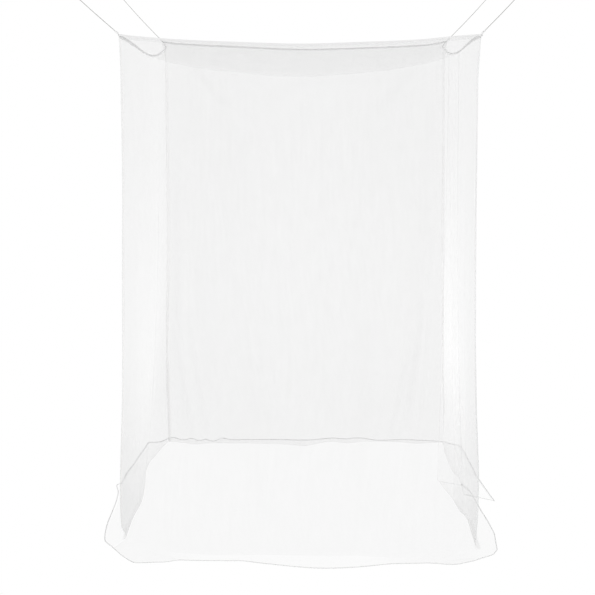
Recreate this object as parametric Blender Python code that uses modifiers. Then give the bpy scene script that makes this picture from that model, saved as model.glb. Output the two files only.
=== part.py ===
"""Box mosquito net, hung by its four corners from ceiling hooks, with its hem on the floor.

A sagging roof panel, a front, a back and a left wall of one panel each, and a right wall
of two panels that overlap as a doorway. The walls are longer than the net hangs high, so
their hems lie on the floor outside the net. Tape binds the roof seam, and a tape tab at
each corner is tied to a cord that ends in an eye for its hook.

X runs across the net, Y from its front to its back and Z up. The origin is over the
middle of the net, level with the four ceiling hooks.
"""

import math

import bmesh
import bpy
import numpy as np
from mathutils import Matrix, Vector

# Driving dimensions, in metres.
NET_WIDTH = 1.50
NET_LENGTH = 2.00
CORNER_HEIGHT = 2.153  # of the roof's corners, above the floor
HOOK_RISE = 0.26  # from the roof's corners up to the hooks
FLOOR = -(CORNER_HEIGHT + HOOK_RISE)

CLOTH = 0.0015  # thickness of the netting as a sheet
SEAM_GAP = 0.0004  # between two sewn pieces
CORNER_GAP = 0.0016  # from a front or back wall's middle to the side wall's end
LAP_GAP = 0.0022  # between the middles of the two door panels where they touch
LAP_ENDS = (0.28, 0.42)  # shares of the rear door panel where its hem comes off the front's
ROOF_INSET = CLOTH / 2 + SEAM_GAP + 0.0003  # the roof's rim leans, so it stands back more

TAPE_WIDTH = 0.008
TAPE_THICKNESS = 0.0015
TAPE_RISE = 0.0010  # of the tape's top edge over the seam

BEND_RADIUS = 0.012  # where a wall turns out along the floor
ROOF_BELLY = 0.062  # the roof's middle, below the sag that its edges give it
ROOF_FULLNESS = 0.5  # under 1 makes the belly steeper beside the edges

CORD_DIAMETER = 0.003
CORD_SAG = 0.004
KNOT_RADIUS = 0.0034
KNOT_STRETCH = 1.25  # a knot's length over its width
HITCH_LENGTH = 0.014  # of the eye tied through a tab
HITCH_HALF_WIDTH = 0.0052
HITCH_CORNER = 0.0018  # the hitch is pulled flat across the tape
EYE_LENGTH = 0.034  # of the eye for the ceiling hook
EYE_HALF_WIDTH = 0.008

TAB_WIDTH = 0.006
TAB_LENGTH = 0.016
TAB_HEIGHT = 0.0075
TAB_STAND = 0.0027  # from the roof corner to the tab's end, clear of the binding

# Where the sheets' columns stand, as shares of an edge. They crowd towards the corners.
ACROSS = (0.0, 0.012, 0.035, 0.07, 0.12, 0.18, 0.25, 0.33, 0.415, 0.5)
ACROSS += tuple(1 - share for share in ACROSS[-2::-1])
ALONG = (0.0, 0.01, 0.03, 0.065, 0.115, 0.18, 0.26, 0.35, 0.415, 0.48, 0.54, 0.6)
ALONG += (0.67, 0.74, 0.81, 0.865, 0.91, 0.945, 0.97, 0.99, 1.0)
DOOR_FRONT_END = 11  # the door's front panel covers columns 0 to 11 of the right edge
DOOR_REAR_START = 7  # and its rear panel covers columns 7 to 20

HANG_ROWS = (0.0, 0.05, 0.14, 0.28, 0.43, 0.58, 0.72, 0.84, 0.93, 1.0)
BEND_ROWS = (45, 90)  # degrees
FLOOR_ROWS = (0.35, 0.7, 1.0)

# The roof's edges: (share of the edge, sag below the corners, bow towards the middle).
# Front and back run from left to right, left and right from front to back.
EDGES = {
    "front": (
        (0.0, 0.0, 0.0),
        (0.04, 0.007, 0.004),
        (0.17, 0.022, 0.014),
        (0.33, 0.032, 0.022),
        (0.5, 0.039, 0.026),
        (0.67, 0.032, 0.022),
        (0.83, 0.022, 0.014),
        (0.92, 0.009, 0.007),
        (1.0, 0.0, 0.0),
    ),
    "back": (
        (0.0, 0.0, 0.0),
        (0.06, 0.012, 0.005),
        (0.25, 0.026, 0.015),
        (0.5, 0.041, 0.022),
        (0.75, 0.031, 0.015),
        (0.93, 0.017, 0.006),
        (1.0, 0.0, 0.0),
    ),
    "left": (
        (0.0, 0.0, 0.0),
        (0.08, 0.012, 0.01),
        (0.2, 0.036, 0.024),
        (0.35, 0.067, 0.038),
        (0.5, 0.079, 0.045),
        (0.65, 0.071, 0.0455),
        (0.8, 0.0495, 0.0425),
        (0.93, 0.032, 0.033),
        (1.0, 0.0, 0.0),
    ),
    "right": (
        (0.0, 0.0, 0.0),
        (0.08, 0.0095, 0.014),
        (0.2, 0.0335, 0.028),
        (0.35, 0.062, 0.04),
        (0.5, 0.07, 0.0455),
        (0.65, 0.061, 0.0465),
        (0.8, 0.039, 0.044),
        (0.93, 0.0275, 0.033),
        (1.0, 0.0, 0.0),
    ),
}

# Where each wall meets the floor: (place along the wall, distance outside the edge's line).
FEET = {
    "front": (
        (-0.749, -0.030),
        (-0.650, 0.080),
        (-0.500, 0.165),
        (-0.350, 0.195),
        (0.000, 0.190),
        (0.200, 0.190),
        (0.370, 0.235),
        (0.550, 0.215),
        (0.680, 0.165),
        (0.744, 0.112),
    ),
    "back": (
        (-0.735, -0.008),
        (-0.690, -0.020),
        (-0.585, -0.072),
        (-0.460, -0.045),
        (-0.190, -0.058),
        (-0.090, -0.075),
        (-0.005, -0.112),
        (0.080, -0.045),
        (0.145, 0.000),
        (0.240, -0.035),
        (0.330, 0.005),
        (0.500, 0.000),
        (0.600, -0.040),
        (0.745, -0.010),
    ),
    "left": (
        (-0.970, 0.000),
        (-0.634, 0.003),
        (-0.375, -0.006),
        (-0.090, 0.006),
        (0.100, 0.022),
        (0.330, 0.036),
        (0.450, 0.035),
        (0.600, 0.022),
        (0.880, -0.004),
        (0.992, -0.015),
    ),
    "right_front": (
        (-1.112, -0.006),
        (-0.880, -0.006),
        (-0.690, -0.004),
        (-0.580, -0.011),
        (-0.490, -0.028),
        (-0.285, -0.042),
        (-0.050, -0.071),
        (0.114, -0.086),
    ),
    "right_rear": (
        (-0.185, 0.014),
        (0.060, 0.020),
        (0.330, -0.004),
        (0.650, -0.010),
        (0.990, -0.005),
    ),
}

# Each wall's hem on the floor, in the same two columns.
HEMS = {
    "front": (
        (-0.790, 0.120),
        (-0.720, 0.275),
        (-0.665, 0.350),
        (-0.560, 0.352),
        (-0.480, 0.314),
        (-0.260, 0.313),
        (-0.140, 0.358),
        (0.000, 0.408),
        (0.090, 0.420),
        (0.300, 0.390),
        (0.450, 0.358),
        (0.541, 0.338),
        (0.630, 0.358),
        (0.710, 0.322),
        (0.768, 0.257),
        (0.812, 0.200),
        (0.835, 0.130),
    ),
    "back": (
        (-0.745, 0.078),
        (-0.715, 0.105),
        (-0.680, 0.055),
        (-0.580, 0.010),
        (-0.540, 0.036),
        (-0.490, 0.010),
        (-0.430, 0.042),
        (-0.170, 0.060),
        (0.000, 0.045),
        (0.155, 0.085),
        (0.220, 0.064),
        (0.300, 0.105),
        (0.415, 0.040),
        (0.640, 0.045),
        (0.760, 0.010),
    ),
    "left": (
        (-1.120, 0.040),
        (-1.005, 0.088),
        (-0.907, 0.099),
        (-0.714, 0.111),
        (-0.344, 0.118),
        (-0.162, 0.128),
        (-0.010, 0.151),
        (0.040, 0.134),
        (0.266, 0.132),
        (0.420, 0.119),
        (0.676, 0.108),
        (0.915, 0.092),
        (1.000, 0.020),
        (1.076, -0.003),
    ),
    "right_front": (
        (-1.130, 0.085),
        (-1.030, 0.090),
        (-0.870, 0.096),
        (-0.690, 0.090),
        (-0.540, 0.079),
        (-0.226, 0.063),
        (-0.048, 0.048),
        (0.021, 0.028),
    ),
    "right_rear": (
        (-0.315, 0.153),
        (-0.160, 0.140),
        (0.166, 0.118),
        (0.518, 0.106),
        (0.771, 0.099),
        (0.869, 0.089),
        (0.955, 0.040),
        (1.009, 0.012),
    ),
}

# Hanging folds: (place at the foot as a share of the wall, lean from the foot to the roof,
# half width as a share, depth outwards, share of the drop where it has faded in).
FOLDS = {
    "front": (
        (0.12, 0.03, 0.045, 0.008, 0.55),
        (0.30, -0.02, 0.070, -0.007, 0.60),
        (0.62, 0.02, 0.080, 0.008, 0.60),
        (0.86, -0.04, 0.050, -0.009, 0.55),
    ),
    "back": (
        (0.06, -0.05, 0.025, -0.016, 0.55),
        (0.14, -0.10, 0.035, 0.022, 0.50),
        (0.24, -0.12, 0.050, -0.014, 0.65),
        (0.52, 0.02, 0.060, -0.010, 0.80),
        (0.80, 0.09, 0.050, -0.013, 0.60),
        (0.90, 0.07, 0.035, 0.020, 0.50),
    ),
    "left": (
        (0.07, 0.00, 0.030, 0.010, 0.25),
        (0.17, 0.01, 0.035, -0.009, 0.30),
        (0.30, 0.02, 0.050, 0.010, 0.35),
        (0.50, 0.00, 0.060, -0.008, 0.45),
        (0.72, -0.02, 0.060, 0.010, 0.45),
        (0.90, 0.00, 0.035, -0.012, 0.40),
    ),
    "right_front": (
        (0.10, 0.00, 0.050, 0.010, 0.25),
        (0.30, 0.01, 0.060, -0.010, 0.35),
        (0.47, 0.01, 0.040, 0.006, 0.45),
        (0.90, 0.00, 0.080, -0.010, 0.50),
    ),
    "right_rear": (
        (0.12, 0.00, 0.070, 0.010, 0.50),
        (0.38, 0.02, 0.080, 0.009, 0.45),
        (0.66, -0.02, 0.080, -0.009, 0.45),
        (0.88, 0.00, 0.050, 0.010, 0.40),
    ),
}

# The corner seams stray sideways as they hang: (height above the floor, distance outwards).
SEAMS = {
    "front_left": (
        (0.00, 0.000),
        (0.05, 0.014),
        (0.17, 0.024),
        (0.44, 0.016),
        (0.60, 0.009),
        (1.20, 0.000),
        (1.62, -0.006),
        (2.00, -0.005),
        (2.153, 0.000),
    ),
    "front_right": (
        (0.00, 0.000),
        (0.15, 0.010),
        (0.26, 0.012),
        (0.55, 0.000),
        (0.80, -0.007),
        (1.45, -0.011),
        (1.95, -0.011),
        (2.153, 0.000),
    ),
    "back_left": (
        (0.00, 0.000),
        (0.50, 0.000),
        (0.90, -0.009),
        (1.30, -0.015),
        (2.05, -0.016),
        (2.153, 0.000),
    ),
    "back_right": (
        (0.00, 0.000),
        (0.60, 0.000),
        (1.50, -0.005),
        (2.05, -0.010),
        (2.153, 0.000),
    ),
}
SEAM_SPREAD = 0.18  # share of a wall that follows the straying seam
FLAT_ENDS = 0.06  # share of a wall beside each end that folds and ripples fade out in

# Each corner: its hook's distance outwards from the roof's corner, along X and along Y, and
# how late in its drop its seam strays to its foot (1 is a straight slant, and more keeps it
# hanging plumb until it is near the floor).
CORNERS = {
    "front_left": (0.26, 0.26, 1.5),
    "front_right": (0.22, 0.29, 1.5),
    "back_left": (0.26, 0.26, 3.0),
    "back_right": (0.26, 0.26, 3.0),
}

# Low ripples of the cloth on the floor: (share along the wall, half width, height).
RIPPLES = {
    "front": ((0.15, 0.05, 0.006), (0.45, 0.08, 0.004), (0.72, 0.06, 0.009), (0.93, 0.04, 0.005)),
    "back": ((0.10, 0.03, 0.012), (0.20, 0.02, 0.008), (0.62, 0.05, 0.005), (0.85, 0.05, 0.006)),
    "left": ((0.12, 0.05, 0.005), (0.48, 0.03, 0.006), (0.75, 0.06, 0.004), (0.93, 0.02, 0.012)),
    "right_front": ((0.20, 0.06, 0.005), (0.50, 0.07, 0.004)),
    "right_rear": ((0.55, 0.07, 0.004), (0.90, 0.04, 0.007)),
}

WHITE_NET = (0.80, 0.81, 0.81)
WHITE_TAPE = (0.62, 0.63, 0.63)
WHITE_CORD = (0.70, 0.70, 0.69)

# Each wall: its roof edge, the direction out of the net, the corner at each of its ends
# (None at a free edge), whether it stops short there of the wall that it meets, and how
# late in its drop it strays to its foot.
WALLS = {
    "front": ("front", (0, -1), ("front_left", "front_right"), False, 1.5),
    "back": ("back", (0, 1), ("back_left", "back_right"), False, 7.0),
    "left": ("left", (-1, 0), ("front_left", "back_left"), True, 2.5),
    "right_front": ("right", (1, 0), ("front_right", None), True, 1.6),
    "right_rear": ("right", (1, 0), (None, "back_right"), True, 2.5),
}


# ---------------------------------------------------------------- curves and surfaces


def smooth(rows, at, column=1):
    """A smooth curve through a table's rows, read at one place or many, with no overshoot."""
    x = np.array([row[0] for row in rows], float)
    y = np.array([row[column] for row in rows], float)
    step = np.diff(x)
    rise = np.diff(y) / step
    slope = np.zeros_like(y)
    slope[0], slope[-1] = rise[0], rise[-1]
    same_way = rise[:-1] * rise[1:] > 0
    mean = 2 * rise[:-1] * rise[1:] / np.where(same_way, rise[:-1] + rise[1:], 1)
    slope[1:-1] = np.where(same_way, mean, 0)
    at = np.clip(at, x[0], x[-1])
    i = np.clip(np.searchsorted(x, at) - 1, 0, len(step) - 1)
    t = (at - x[i]) / step[i]
    return (
        y[i] * (1 + 2 * t) * (1 - t) ** 2
        + y[i + 1] * t * t * (3 - 2 * t)
        + step[i] * slope[i] * t * (1 - t) ** 2
        - step[i] * slope[i + 1] * t * t * (1 - t)
    )


def ease(low, high, value):
    """0 below low, 1 above high, and smooth between."""
    t = np.clip((value - low) / (high - low), 0, 1)
    return t * t * (3 - 2 * t)


def edge_line(edge, share):
    """The roof seam on one side: a point on the line that the wall's middle hangs from."""
    sag = float(smooth(EDGES[edge], share, 1))
    bow = float(smooth(EDGES[edge], share, 2))
    half_width, half_length = NET_WIDTH / 2, NET_LENGTH / 2
    height = FLOOR + CORNER_HEIGHT - sag
    if edge in ("front", "back"):
        y = half_length - bow
        return Vector((NET_WIDTH * share - half_width, -y if edge == "front" else y, height))
    x = half_width - bow
    return Vector((-x if edge == "left" else x, NET_LENGTH * share - half_length, height))


def plan_point(wall, rows, share):
    """A point of a foot or hem outline on the floor, as X and Y."""
    along = rows[0][0] + (rows[-1][0] - rows[0][0]) * share
    out = float(smooth(rows, along))
    if wall in ("front", "back"):
        side = -1 if wall == "front" else 1
        return Vector((along, side * (NET_LENGTH / 2 + out)))
    side = -1 if wall == "left" else 1
    return Vector((side * (NET_WIDTH / 2 + out), along))


def fold_depth(wall, share, drop):
    """How far the hanging folds push a wall outwards at one point."""
    depth = 0.0
    for foot, lean, width, size, faded_in in FOLDS[wall]:
        across = (share - foot - lean * (1 - drop)) / width
        depth += size * math.exp(-across * across) * ease(0.05, faded_in, drop)
    return depth * ease(0.0, FLAT_ENDS, share) * ease(0.0, FLAT_ENDS, 1 - share)


def near_corners(wall, share):
    """(name, nearness) of each corner of a wall: 1 at its seam, fading to 0 away from it."""
    for corner, distance in zip(WALLS[wall][2], (share, 1 - share)):
        if corner:
            yield corner, 1 - float(ease(0.0, SEAM_SPREAD, distance))


def seam_stray(wall, share, drop):
    """The sideways stray of a wall beside its corner seams, as X."""
    stray = 0.0
    for corner, nearness in near_corners(wall, share):
        side = -1 if corner.endswith("left") else 1
        height = CORNER_HEIGHT * (1 - drop)
        stray += side * float(smooth(SEAMS[corner], height)) * nearness
    return stray


def floor_ripple(wall, share, out):
    """The height of the ripples on the floor, none at the foot and most before the hem."""
    height = sum(
        size * math.exp(-(((share - at) / width) ** 2)) for at, width, size in RIPPLES[wall]
    )
    ends = ease(0.0, FLAT_ENDS, share) * ease(0.0, FLAT_ENDS, 1 - share)
    return height * math.sin(math.pi * 0.75 * out) * ends


def wall_column(wall, share, top):
    """One column of a wall's points, from the roof seam down to the floor and out to the hem."""
    outward = Vector((*WALLS[wall][1], 0))
    lateness = WALLS[wall][4]
    for corner, nearness in near_corners(wall, share):
        lateness += (CORNERS[corner][2] - lateness) * nearness
    foot = plan_point(wall, FEET[wall], share)
    hem = plan_point(wall, HEMS[wall], share)
    reach = (hem - foot).length
    along_floor = (hem - foot) / reach
    radius = min(BEND_RADIUS, 0.4 * reach)
    lift = CLOTH / 2 + SEAM_GAP
    if wall == "right_rear":  # it lies on the front panel's hem where the two overlap
        lift += LAP_GAP * (1 - float(ease(*LAP_ENDS, share)))
    ground = FLOOR + lift
    points = []
    for drop in HANG_ROWS:
        swing = drop**lateness
        z = top.z + (ground + radius - top.z) * drop
        point = Vector((top.x + (foot.x - top.x) * swing, top.y + (foot.y - top.y) * swing, z))
        point += outward * fold_depth(wall, share, drop) * (1 - float(ease(0.9, 1.0, drop)))
        point.x += seam_stray(wall, share, drop)
        points.append(point)
    for degrees in BEND_ROWS:
        turn = math.radians(degrees)
        place = foot + along_floor * radius * (1 - math.cos(turn))
        points.append(Vector((*place, ground + radius * (1 - math.sin(turn)))))
    for out in FLOOR_ROWS:
        place = foot + along_floor * (radius + (reach - radius) * out)
        points.append(Vector((*place, ground + floor_ripple(wall, share, out))))
    return points


def stop_short(column, neighbour):
    """Draws a wall's end column in towards its neighbour, square to the column itself."""
    before, after = column[:1] + column[:-1], column[1:] + column[-1:]
    moves = []
    for point, beside, above, below in zip(column, neighbour, before, after):
        line = (below - above).normalized()
        step = beside - point
        step -= line * step.dot(line)
        moves.append(step.normalized() * CORNER_GAP)
    for point, move in zip(column, moves):
        point += move


def wall_grid(wall, stations):
    """A wall's columns under the given stations of its roof edge."""
    edge, _, corners, short, _ = WALLS[wall]
    grid = []
    for station in stations:
        share = (station - stations[0]) / (stations[-1] - stations[0])
        top = edge_line(edge, station)
        if wall == "right_rear":
            top.x += LAP_GAP
        grid.append(wall_column(wall, share, top))
    if short and corners[0]:
        stop_short(grid[0], grid[1])
    if short and corners[1]:
        stop_short(grid[-1], grid[-2])
    return grid


def roof_point(u, v):
    """A point of the roof, u across from the left and v along from the front."""
    front, back = edge_line("front", u), edge_line("back", u)
    left, right = edge_line("left", v), edge_line("right", v)
    corner = [edge_line(edge, share) for edge in ("front", "back") for share in (0, 1)]
    point = front * (1 - v) + back * v + left * (1 - u) + right * u
    point -= corner[0] * (1 - u) * (1 - v) + corner[1] * u * (1 - v)
    point -= corner[2] * (1 - u) * v + corner[3] * u * v
    point.z -= ROOF_BELLY * (math.sin(math.pi * u) * math.sin(math.pi * v)) ** ROOF_FULLNESS
    return point


def roof_grid():
    """The roof's points, its outermost ones drawn in from the seam to clear the walls."""
    grid = []
    for u in ACROSS:
        column = []
        for v in ALONG:
            point = roof_point(u, v)
            point.x += ROOF_INSET * ((u == 0) - (u == 1))
            point.y += ROOF_INSET * ((v == 0) - (v == 1))
            column.append(point)
        grid.append(column)
    return grid


# ---------------------------------------------------------------- objects


def clear_scene():
    for obj in list(bpy.data.objects):
        bpy.data.objects.remove(obj, do_unlink=True)


def material(name, color, roughness):
    """A plain finish."""
    made = bpy.data.materials.new(name)
    made.use_nodes = True
    shader = made.node_tree.nodes["Principled BSDF"]
    shader.inputs["Base Color"].default_value = (*color, 1)
    shader.inputs["Roughness"].default_value = roughness
    shader.inputs["Metallic"].default_value = 0.0
    made.diffuse_color = (*color, 1)
    return made


def add_object(name, data, collection, color, roughness=0.85):
    obj = bpy.data.objects.new(name, data)
    obj.data.materials.append(material(name, color, roughness))
    collection.objects.link(obj)
    return obj


def sheet(name, grid, collection, faces_up):
    """A sheet through a grid of points, thickened by Solidify."""
    rows = len(grid[0])
    mesh = bpy.data.meshes.new(name)
    shape = bmesh.new()
    verts = [[shape.verts.new(point) for point in column] for column in grid]
    for i in range(len(grid) - 1):
        for j in range(rows - 1):
            corners = [verts[i][j], verts[i + 1][j], verts[i + 1][j + 1], verts[i][j + 1]]
            shape.faces.new(corners if faces_up else corners[::-1])
    shape.to_mesh(mesh)
    shape.free()
    mesh.shade_smooth()
    obj = add_object(name, mesh, collection, WHITE_NET)
    thick = obj.modifiers.new("thickness", "SOLIDIFY")
    thick.thickness = CLOTH
    thick.offset = 0
    return obj


def loft(name, rings, collection, color, closed=False):
    """A solid through a row of equal rings of points, capped at its ends unless it closes."""
    mesh = bpy.data.meshes.new(name)
    shape = bmesh.new()
    verts = [[shape.verts.new(point) for point in ring] for ring in rings]
    count, size = len(rings), len(rings[0])
    for i in range(count if closed else count - 1):
        here, there = verts[i], verts[(i + 1) % count]
        for j in range(size):
            k = (j + 1) % size
            shape.faces.new((here[j], here[k], there[k], there[j]))
    if not closed:
        shape.faces.new(verts[0][::-1])
        shape.faces.new(verts[-1])
    bmesh.ops.recalc_face_normals(shape, faces=shape.faces)
    shape.to_mesh(mesh)
    shape.free()
    return add_object(name, mesh, collection, color)


def add_binding(edge, collection):
    """The tape along one roof edge, a flat strip outside the wall's top."""
    outward = Vector((*WALLS[edge if edge in WALLS else "right_rear"][1], 0))
    inner = CLOTH / 2 + SEAM_GAP + (LAP_GAP if edge == "right" else 0.0)
    outer = inner + TAPE_THICKNESS
    rings = []
    for station in ACROSS if edge in ("front", "back") else ALONG:
        top = edge_line(edge, station) + Vector((0, 0, TAPE_RISE))
        bottom = top - Vector((0, 0, TAPE_WIDTH))
        ring = [top + outward * inner, top + outward * outer]
        ring += [bottom + outward * outer, bottom + outward * inner]
        rings.append(ring)
    return loft("binding_" + edge, rings, collection, WHITE_TAPE)


def corner_sites():
    """(name, roof corner, unit direction of its cord) of the four corners."""
    for name, (reach_x, reach_y, _) in CORNERS.items():
        x = -1 if name.endswith("left") else 1
        y = -1 if name.startswith("front") else 1
        corner = Vector((x * NET_WIDTH / 2, y * NET_LENGTH / 2, -HOOK_RISE))
        yield name, corner, Vector((x * reach_x, y * reach_y, HOOK_RISE)).normalized()


def cross_direction(direction):
    """The level direction at right angles to a cord."""
    return Vector((-direction.y, direction.x, 0)).normalized()


def add_tab(name, corner, direction, collection):
    """The tape tab at one corner, a flat band folded into a loop that points along the cord."""
    across = cross_direction(direction)
    upright = across.cross(direction)
    half_height = TAB_HEIGHT / 2
    half = across * TAB_WIDTH / 2
    rings = []
    for along, first in ((half_height, 90), (TAB_LENGTH - half_height, 270)):
        centre = corner + direction * (TAB_STAND + along)
        for degrees in range(first, first + 181, 30):
            turn = math.radians(degrees)
            ray = direction * math.cos(turn) + upright * math.sin(turn)
            inner = centre + ray * (half_height - TAPE_THICKNESS)
            outer = centre + ray * half_height
            rings.append([inner - half, inner + half, outer + half, outer - half])
    return loft("tab_" + name, rings, collection, WHITE_TAPE, closed=True)


def as_mesh(curve):
    """A curve object made a mesh, its caps welded."""
    bpy.context.view_layer.update()
    graph = bpy.context.evaluated_depsgraph_get()
    mesh = bpy.data.meshes.new_from_object(curve.evaluated_get(graph))
    shape = bmesh.new()
    shape.from_mesh(mesh)
    bmesh.ops.remove_doubles(shape, verts=shape.verts, dist=1e-6)
    shape.to_mesh(mesh)
    shape.free()
    return mesh


def cord_curve(name, points, cyclic, resolution):
    curve = bpy.data.curves.new(name, "CURVE")
    curve.dimensions = "3D"
    curve.bevel_depth = CORD_DIAMETER / 2
    curve.bevel_resolution = resolution
    curve.use_fill_caps = True
    spline = curve.splines.new("POLY")
    spline.points.add(len(points) - 1)
    for place, point in zip(spline.points, points):
        place.co = (*point, 1)
    spline.use_cyclic_u = cyclic
    return curve


def eye_outline(tip, knot, sideways, half_width, corner):
    """The middle line of an eye: a flat or round end at tip, and sides that close on the knot."""
    towards = (knot - tip).normalized()
    points = []
    for side, turns in ((-1, (-90, -60, -30, 0)), (1, (0, 30, 60, 90))):
        centre = tip + towards * corner + sideways * side * (half_width - corner)
        for degrees in turns:
            turn = math.radians(degrees)
            point = centre + corner * (sideways * math.sin(turn) - towards * math.cos(turn))
            if not points or (point - points[-1]).length > SEAM_GAP:
                points.append(point)
    points.append(knot + sideways * CORD_DIAMETER * 0.5)
    points.append(knot - sideways * CORD_DIAMETER * 0.5)
    return points


def add_eye(name, outline, knot, towards, collection, helpers):
    """An eye tied in the cord: a loop of cord with a knot that closes it, as one solid."""
    loop = bpy.data.objects.new(name + "_loop", cord_curve(name + "_loop", outline, True, 1))
    helpers.objects.link(loop)
    obj = add_object(name, as_mesh(loop), collection, WHITE_CORD)
    bpy.data.objects.remove(loop, do_unlink=True)
    ball = bpy.data.meshes.new(name + "_knot")
    shape = bmesh.new()
    bmesh.ops.create_uvsphere(shape, u_segments=8, v_segments=6, radius=KNOT_RADIUS)
    along = towards.to_track_quat("Z", "Y").to_matrix().to_4x4()
    stretch = Matrix.Diagonal((1, 1, KNOT_STRETCH, 1))
    bmesh.ops.transform(shape, verts=shape.verts, matrix=Matrix.Translation(knot) @ along @ stretch)
    shape.to_mesh(ball)
    shape.free()
    knot_object = bpy.data.objects.new(name + "_knot", ball)
    knot_object.hide_render = True
    knot_object.display_type = "WIRE"
    helpers.objects.link(knot_object)
    join = obj.modifiers.new("knot", "BOOLEAN")
    join.operation = "UNION"
    join.object = knot_object
    return obj


def add_cord(name, start, end, collection):
    """The taut cord between its two knots, with the slight sag of a light cord."""
    points = []
    for share in (0.0, 0.1, 0.2, 0.3, 0.4, 0.5, 0.6, 0.7, 0.8, 0.9, 1.0):
        point = start.lerp(end, share)
        point.z -= CORD_SAG * math.sin(math.pi * share)
        points.append(point)
    return add_object(name, cord_curve(name, points, False, 2), collection, WHITE_CORD)


def add_hanging(name, corner, direction, collection, helpers):
    """One corner's tab, the eye tied to it, its cord and the eye for the ceiling hook."""
    add_tab(name, corner, direction, collection)
    across = cross_direction(direction)
    upright = across.cross(direction)
    inside_tab = TAB_STAND + TAB_LENGTH - TAPE_THICKNESS
    low_tip = corner + direction * (inside_tab - SEAM_GAP - CORD_DIAMETER / 2)
    low_knot = low_tip + direction * HITCH_LENGTH
    outline = eye_outline(low_tip, low_knot, across, HITCH_HALF_WIDTH, HITCH_CORNER)
    add_eye("hitch_" + name, outline, low_knot, direction, collection, helpers)
    high_tip = corner + direction * (HOOK_RISE / direction.z + CORD_DIAMETER / 2)
    high_knot = high_tip - direction * EYE_LENGTH
    outline = eye_outline(high_tip, high_knot, upright, EYE_HALF_WIDTH, EYE_HALF_WIDTH)
    add_eye("eye_" + name, outline, high_knot, direction, collection, helpers)
    clear = direction * (KNOT_RADIUS * KNOT_STRETCH + SEAM_GAP)
    add_cord("cord_" + name, low_knot + clear, high_knot - clear, collection)


def build():
    clear_scene()
    collection = bpy.data.collections.new("mosquito_net_canopy")
    helpers = bpy.data.collections.new("helpers")
    bpy.context.scene.collection.children.link(collection)
    bpy.context.scene.collection.children.link(helpers)
    sheet("roof", roof_grid(), collection, True)
    sheet("front_wall", wall_grid("front", ACROSS), collection, False)
    sheet("back_wall", wall_grid("back", ACROSS), collection, True)
    sheet("left_wall", wall_grid("left", ALONG), collection, True)
    door_front = wall_grid("right_front", ALONG[: DOOR_FRONT_END + 1])
    sheet("door_front", door_front, collection, False)
    door_rear = wall_grid("right_rear", ALONG[DOOR_REAR_START:])
    sheet("door_rear", door_rear, collection, False)
    for edge in EDGES:
        add_binding(edge, collection)
    for name, corner, direction in corner_sites():
        add_hanging(name, corner, direction, collection, helpers)


if __name__ == "__main__":
    build()
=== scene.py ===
"""Box mosquito net, hung by its four corners from ceiling hooks, dressed over its frame.

Sheer netting sheets with rolled hems, a taped roof seam, tape tabs and twisted cords that end
in eyes for the ceiling hooks. X runs across the net, Y from its front to its back and Z up,
and the origin is over its middle, level with the hooks. All sizes are in metres.
"""

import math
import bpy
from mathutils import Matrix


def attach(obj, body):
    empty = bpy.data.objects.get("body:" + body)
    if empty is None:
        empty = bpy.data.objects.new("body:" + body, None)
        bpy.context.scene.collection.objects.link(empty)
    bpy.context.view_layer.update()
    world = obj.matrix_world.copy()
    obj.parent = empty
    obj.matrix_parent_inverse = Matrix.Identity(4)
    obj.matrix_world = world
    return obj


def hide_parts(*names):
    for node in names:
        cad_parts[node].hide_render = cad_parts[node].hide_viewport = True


bl_info = {
    "name": "Box mosquito net", "version": (1, 0, 0), "blender": (4, 5, 0),
    "location": "3D View > Sidebar > Box net",
    "description": "Builds a hung box mosquito net over its frame", "category": "Add Mesh",
}

import bpy
import numpy as np
from mathutils import Vector

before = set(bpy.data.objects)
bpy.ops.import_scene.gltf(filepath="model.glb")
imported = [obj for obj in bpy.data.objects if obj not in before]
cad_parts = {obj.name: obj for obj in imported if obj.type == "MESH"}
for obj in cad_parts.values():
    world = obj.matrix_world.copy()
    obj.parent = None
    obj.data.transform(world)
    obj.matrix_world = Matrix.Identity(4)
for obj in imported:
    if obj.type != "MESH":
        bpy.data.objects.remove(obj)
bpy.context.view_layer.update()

# The frame's own measures, which the net's pieces repeat. The left wall's folds and the foot of
# the front left seam are drawn a little straighter here.
NET_WIDTH = 1.50
NET_LENGTH = 2.00
CORNER_HEIGHT = 2.153  # of the roof's corners, above the floor
HOOK_RISE = 0.26  # from the roof's corners up to the hooks
FLOOR = -(CORNER_HEIGHT + HOOK_RISE)
CLOTH = 0.0015
SEAM_GAP = 0.0004
CORNER_GAP = 0.0016  # from a front or back wall's middle to the side wall's end
LAP_GAP = 0.0022  # between the two door panels
LAP_ENDS = (0.28, 0.42)  # shares of the rear door panel where its hem comes off the front's
ROOF_INSET = 0.00145  # the roof's rim, inside the walls' middles
TAPE_WIDTH = 0.008
TAPE_THICKNESS = 0.0015
TAPE_RISE = 0.0010
BEND_RADIUS = 0.012  # where a wall turns out along the floor
ROOF_BELLY = 0.062
ROOF_FULLNESS = 0.5  # 1 makes the roof's belly a plain wave, and less makes it fuller
CORD_DIAMETER = 0.003
CORD_SAG = 0.004
KNOT_RADIUS = 0.0034
KNOT_STRETCH = 1.25  # a knot's half length, in its radii
HITCH_LENGTH = 0.014
HITCH_HALF_WIDTH = 0.0052
HITCH_CORNER = 0.0018  # radius of the hitch's corners inside the tab
EYE_LENGTH = 0.034
EYE_HALF_WIDTH = 0.008
TAB_WIDTH = 0.006
TAB_LENGTH = 0.016
TAB_HEIGHT = 0.0075
TAB_STAND = 0.0027
SEAM_SPREAD = 0.18  # share of a wall that follows the seam beside it as it strays
FLAT_ENDS = 0.06  # share of a wall by each end where its folds fade out
DOOR_FRONT = (0.0, 0.6)  # shares of the right edge that each door panel covers
DOOR_REAR = (0.35, 1.0)

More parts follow.
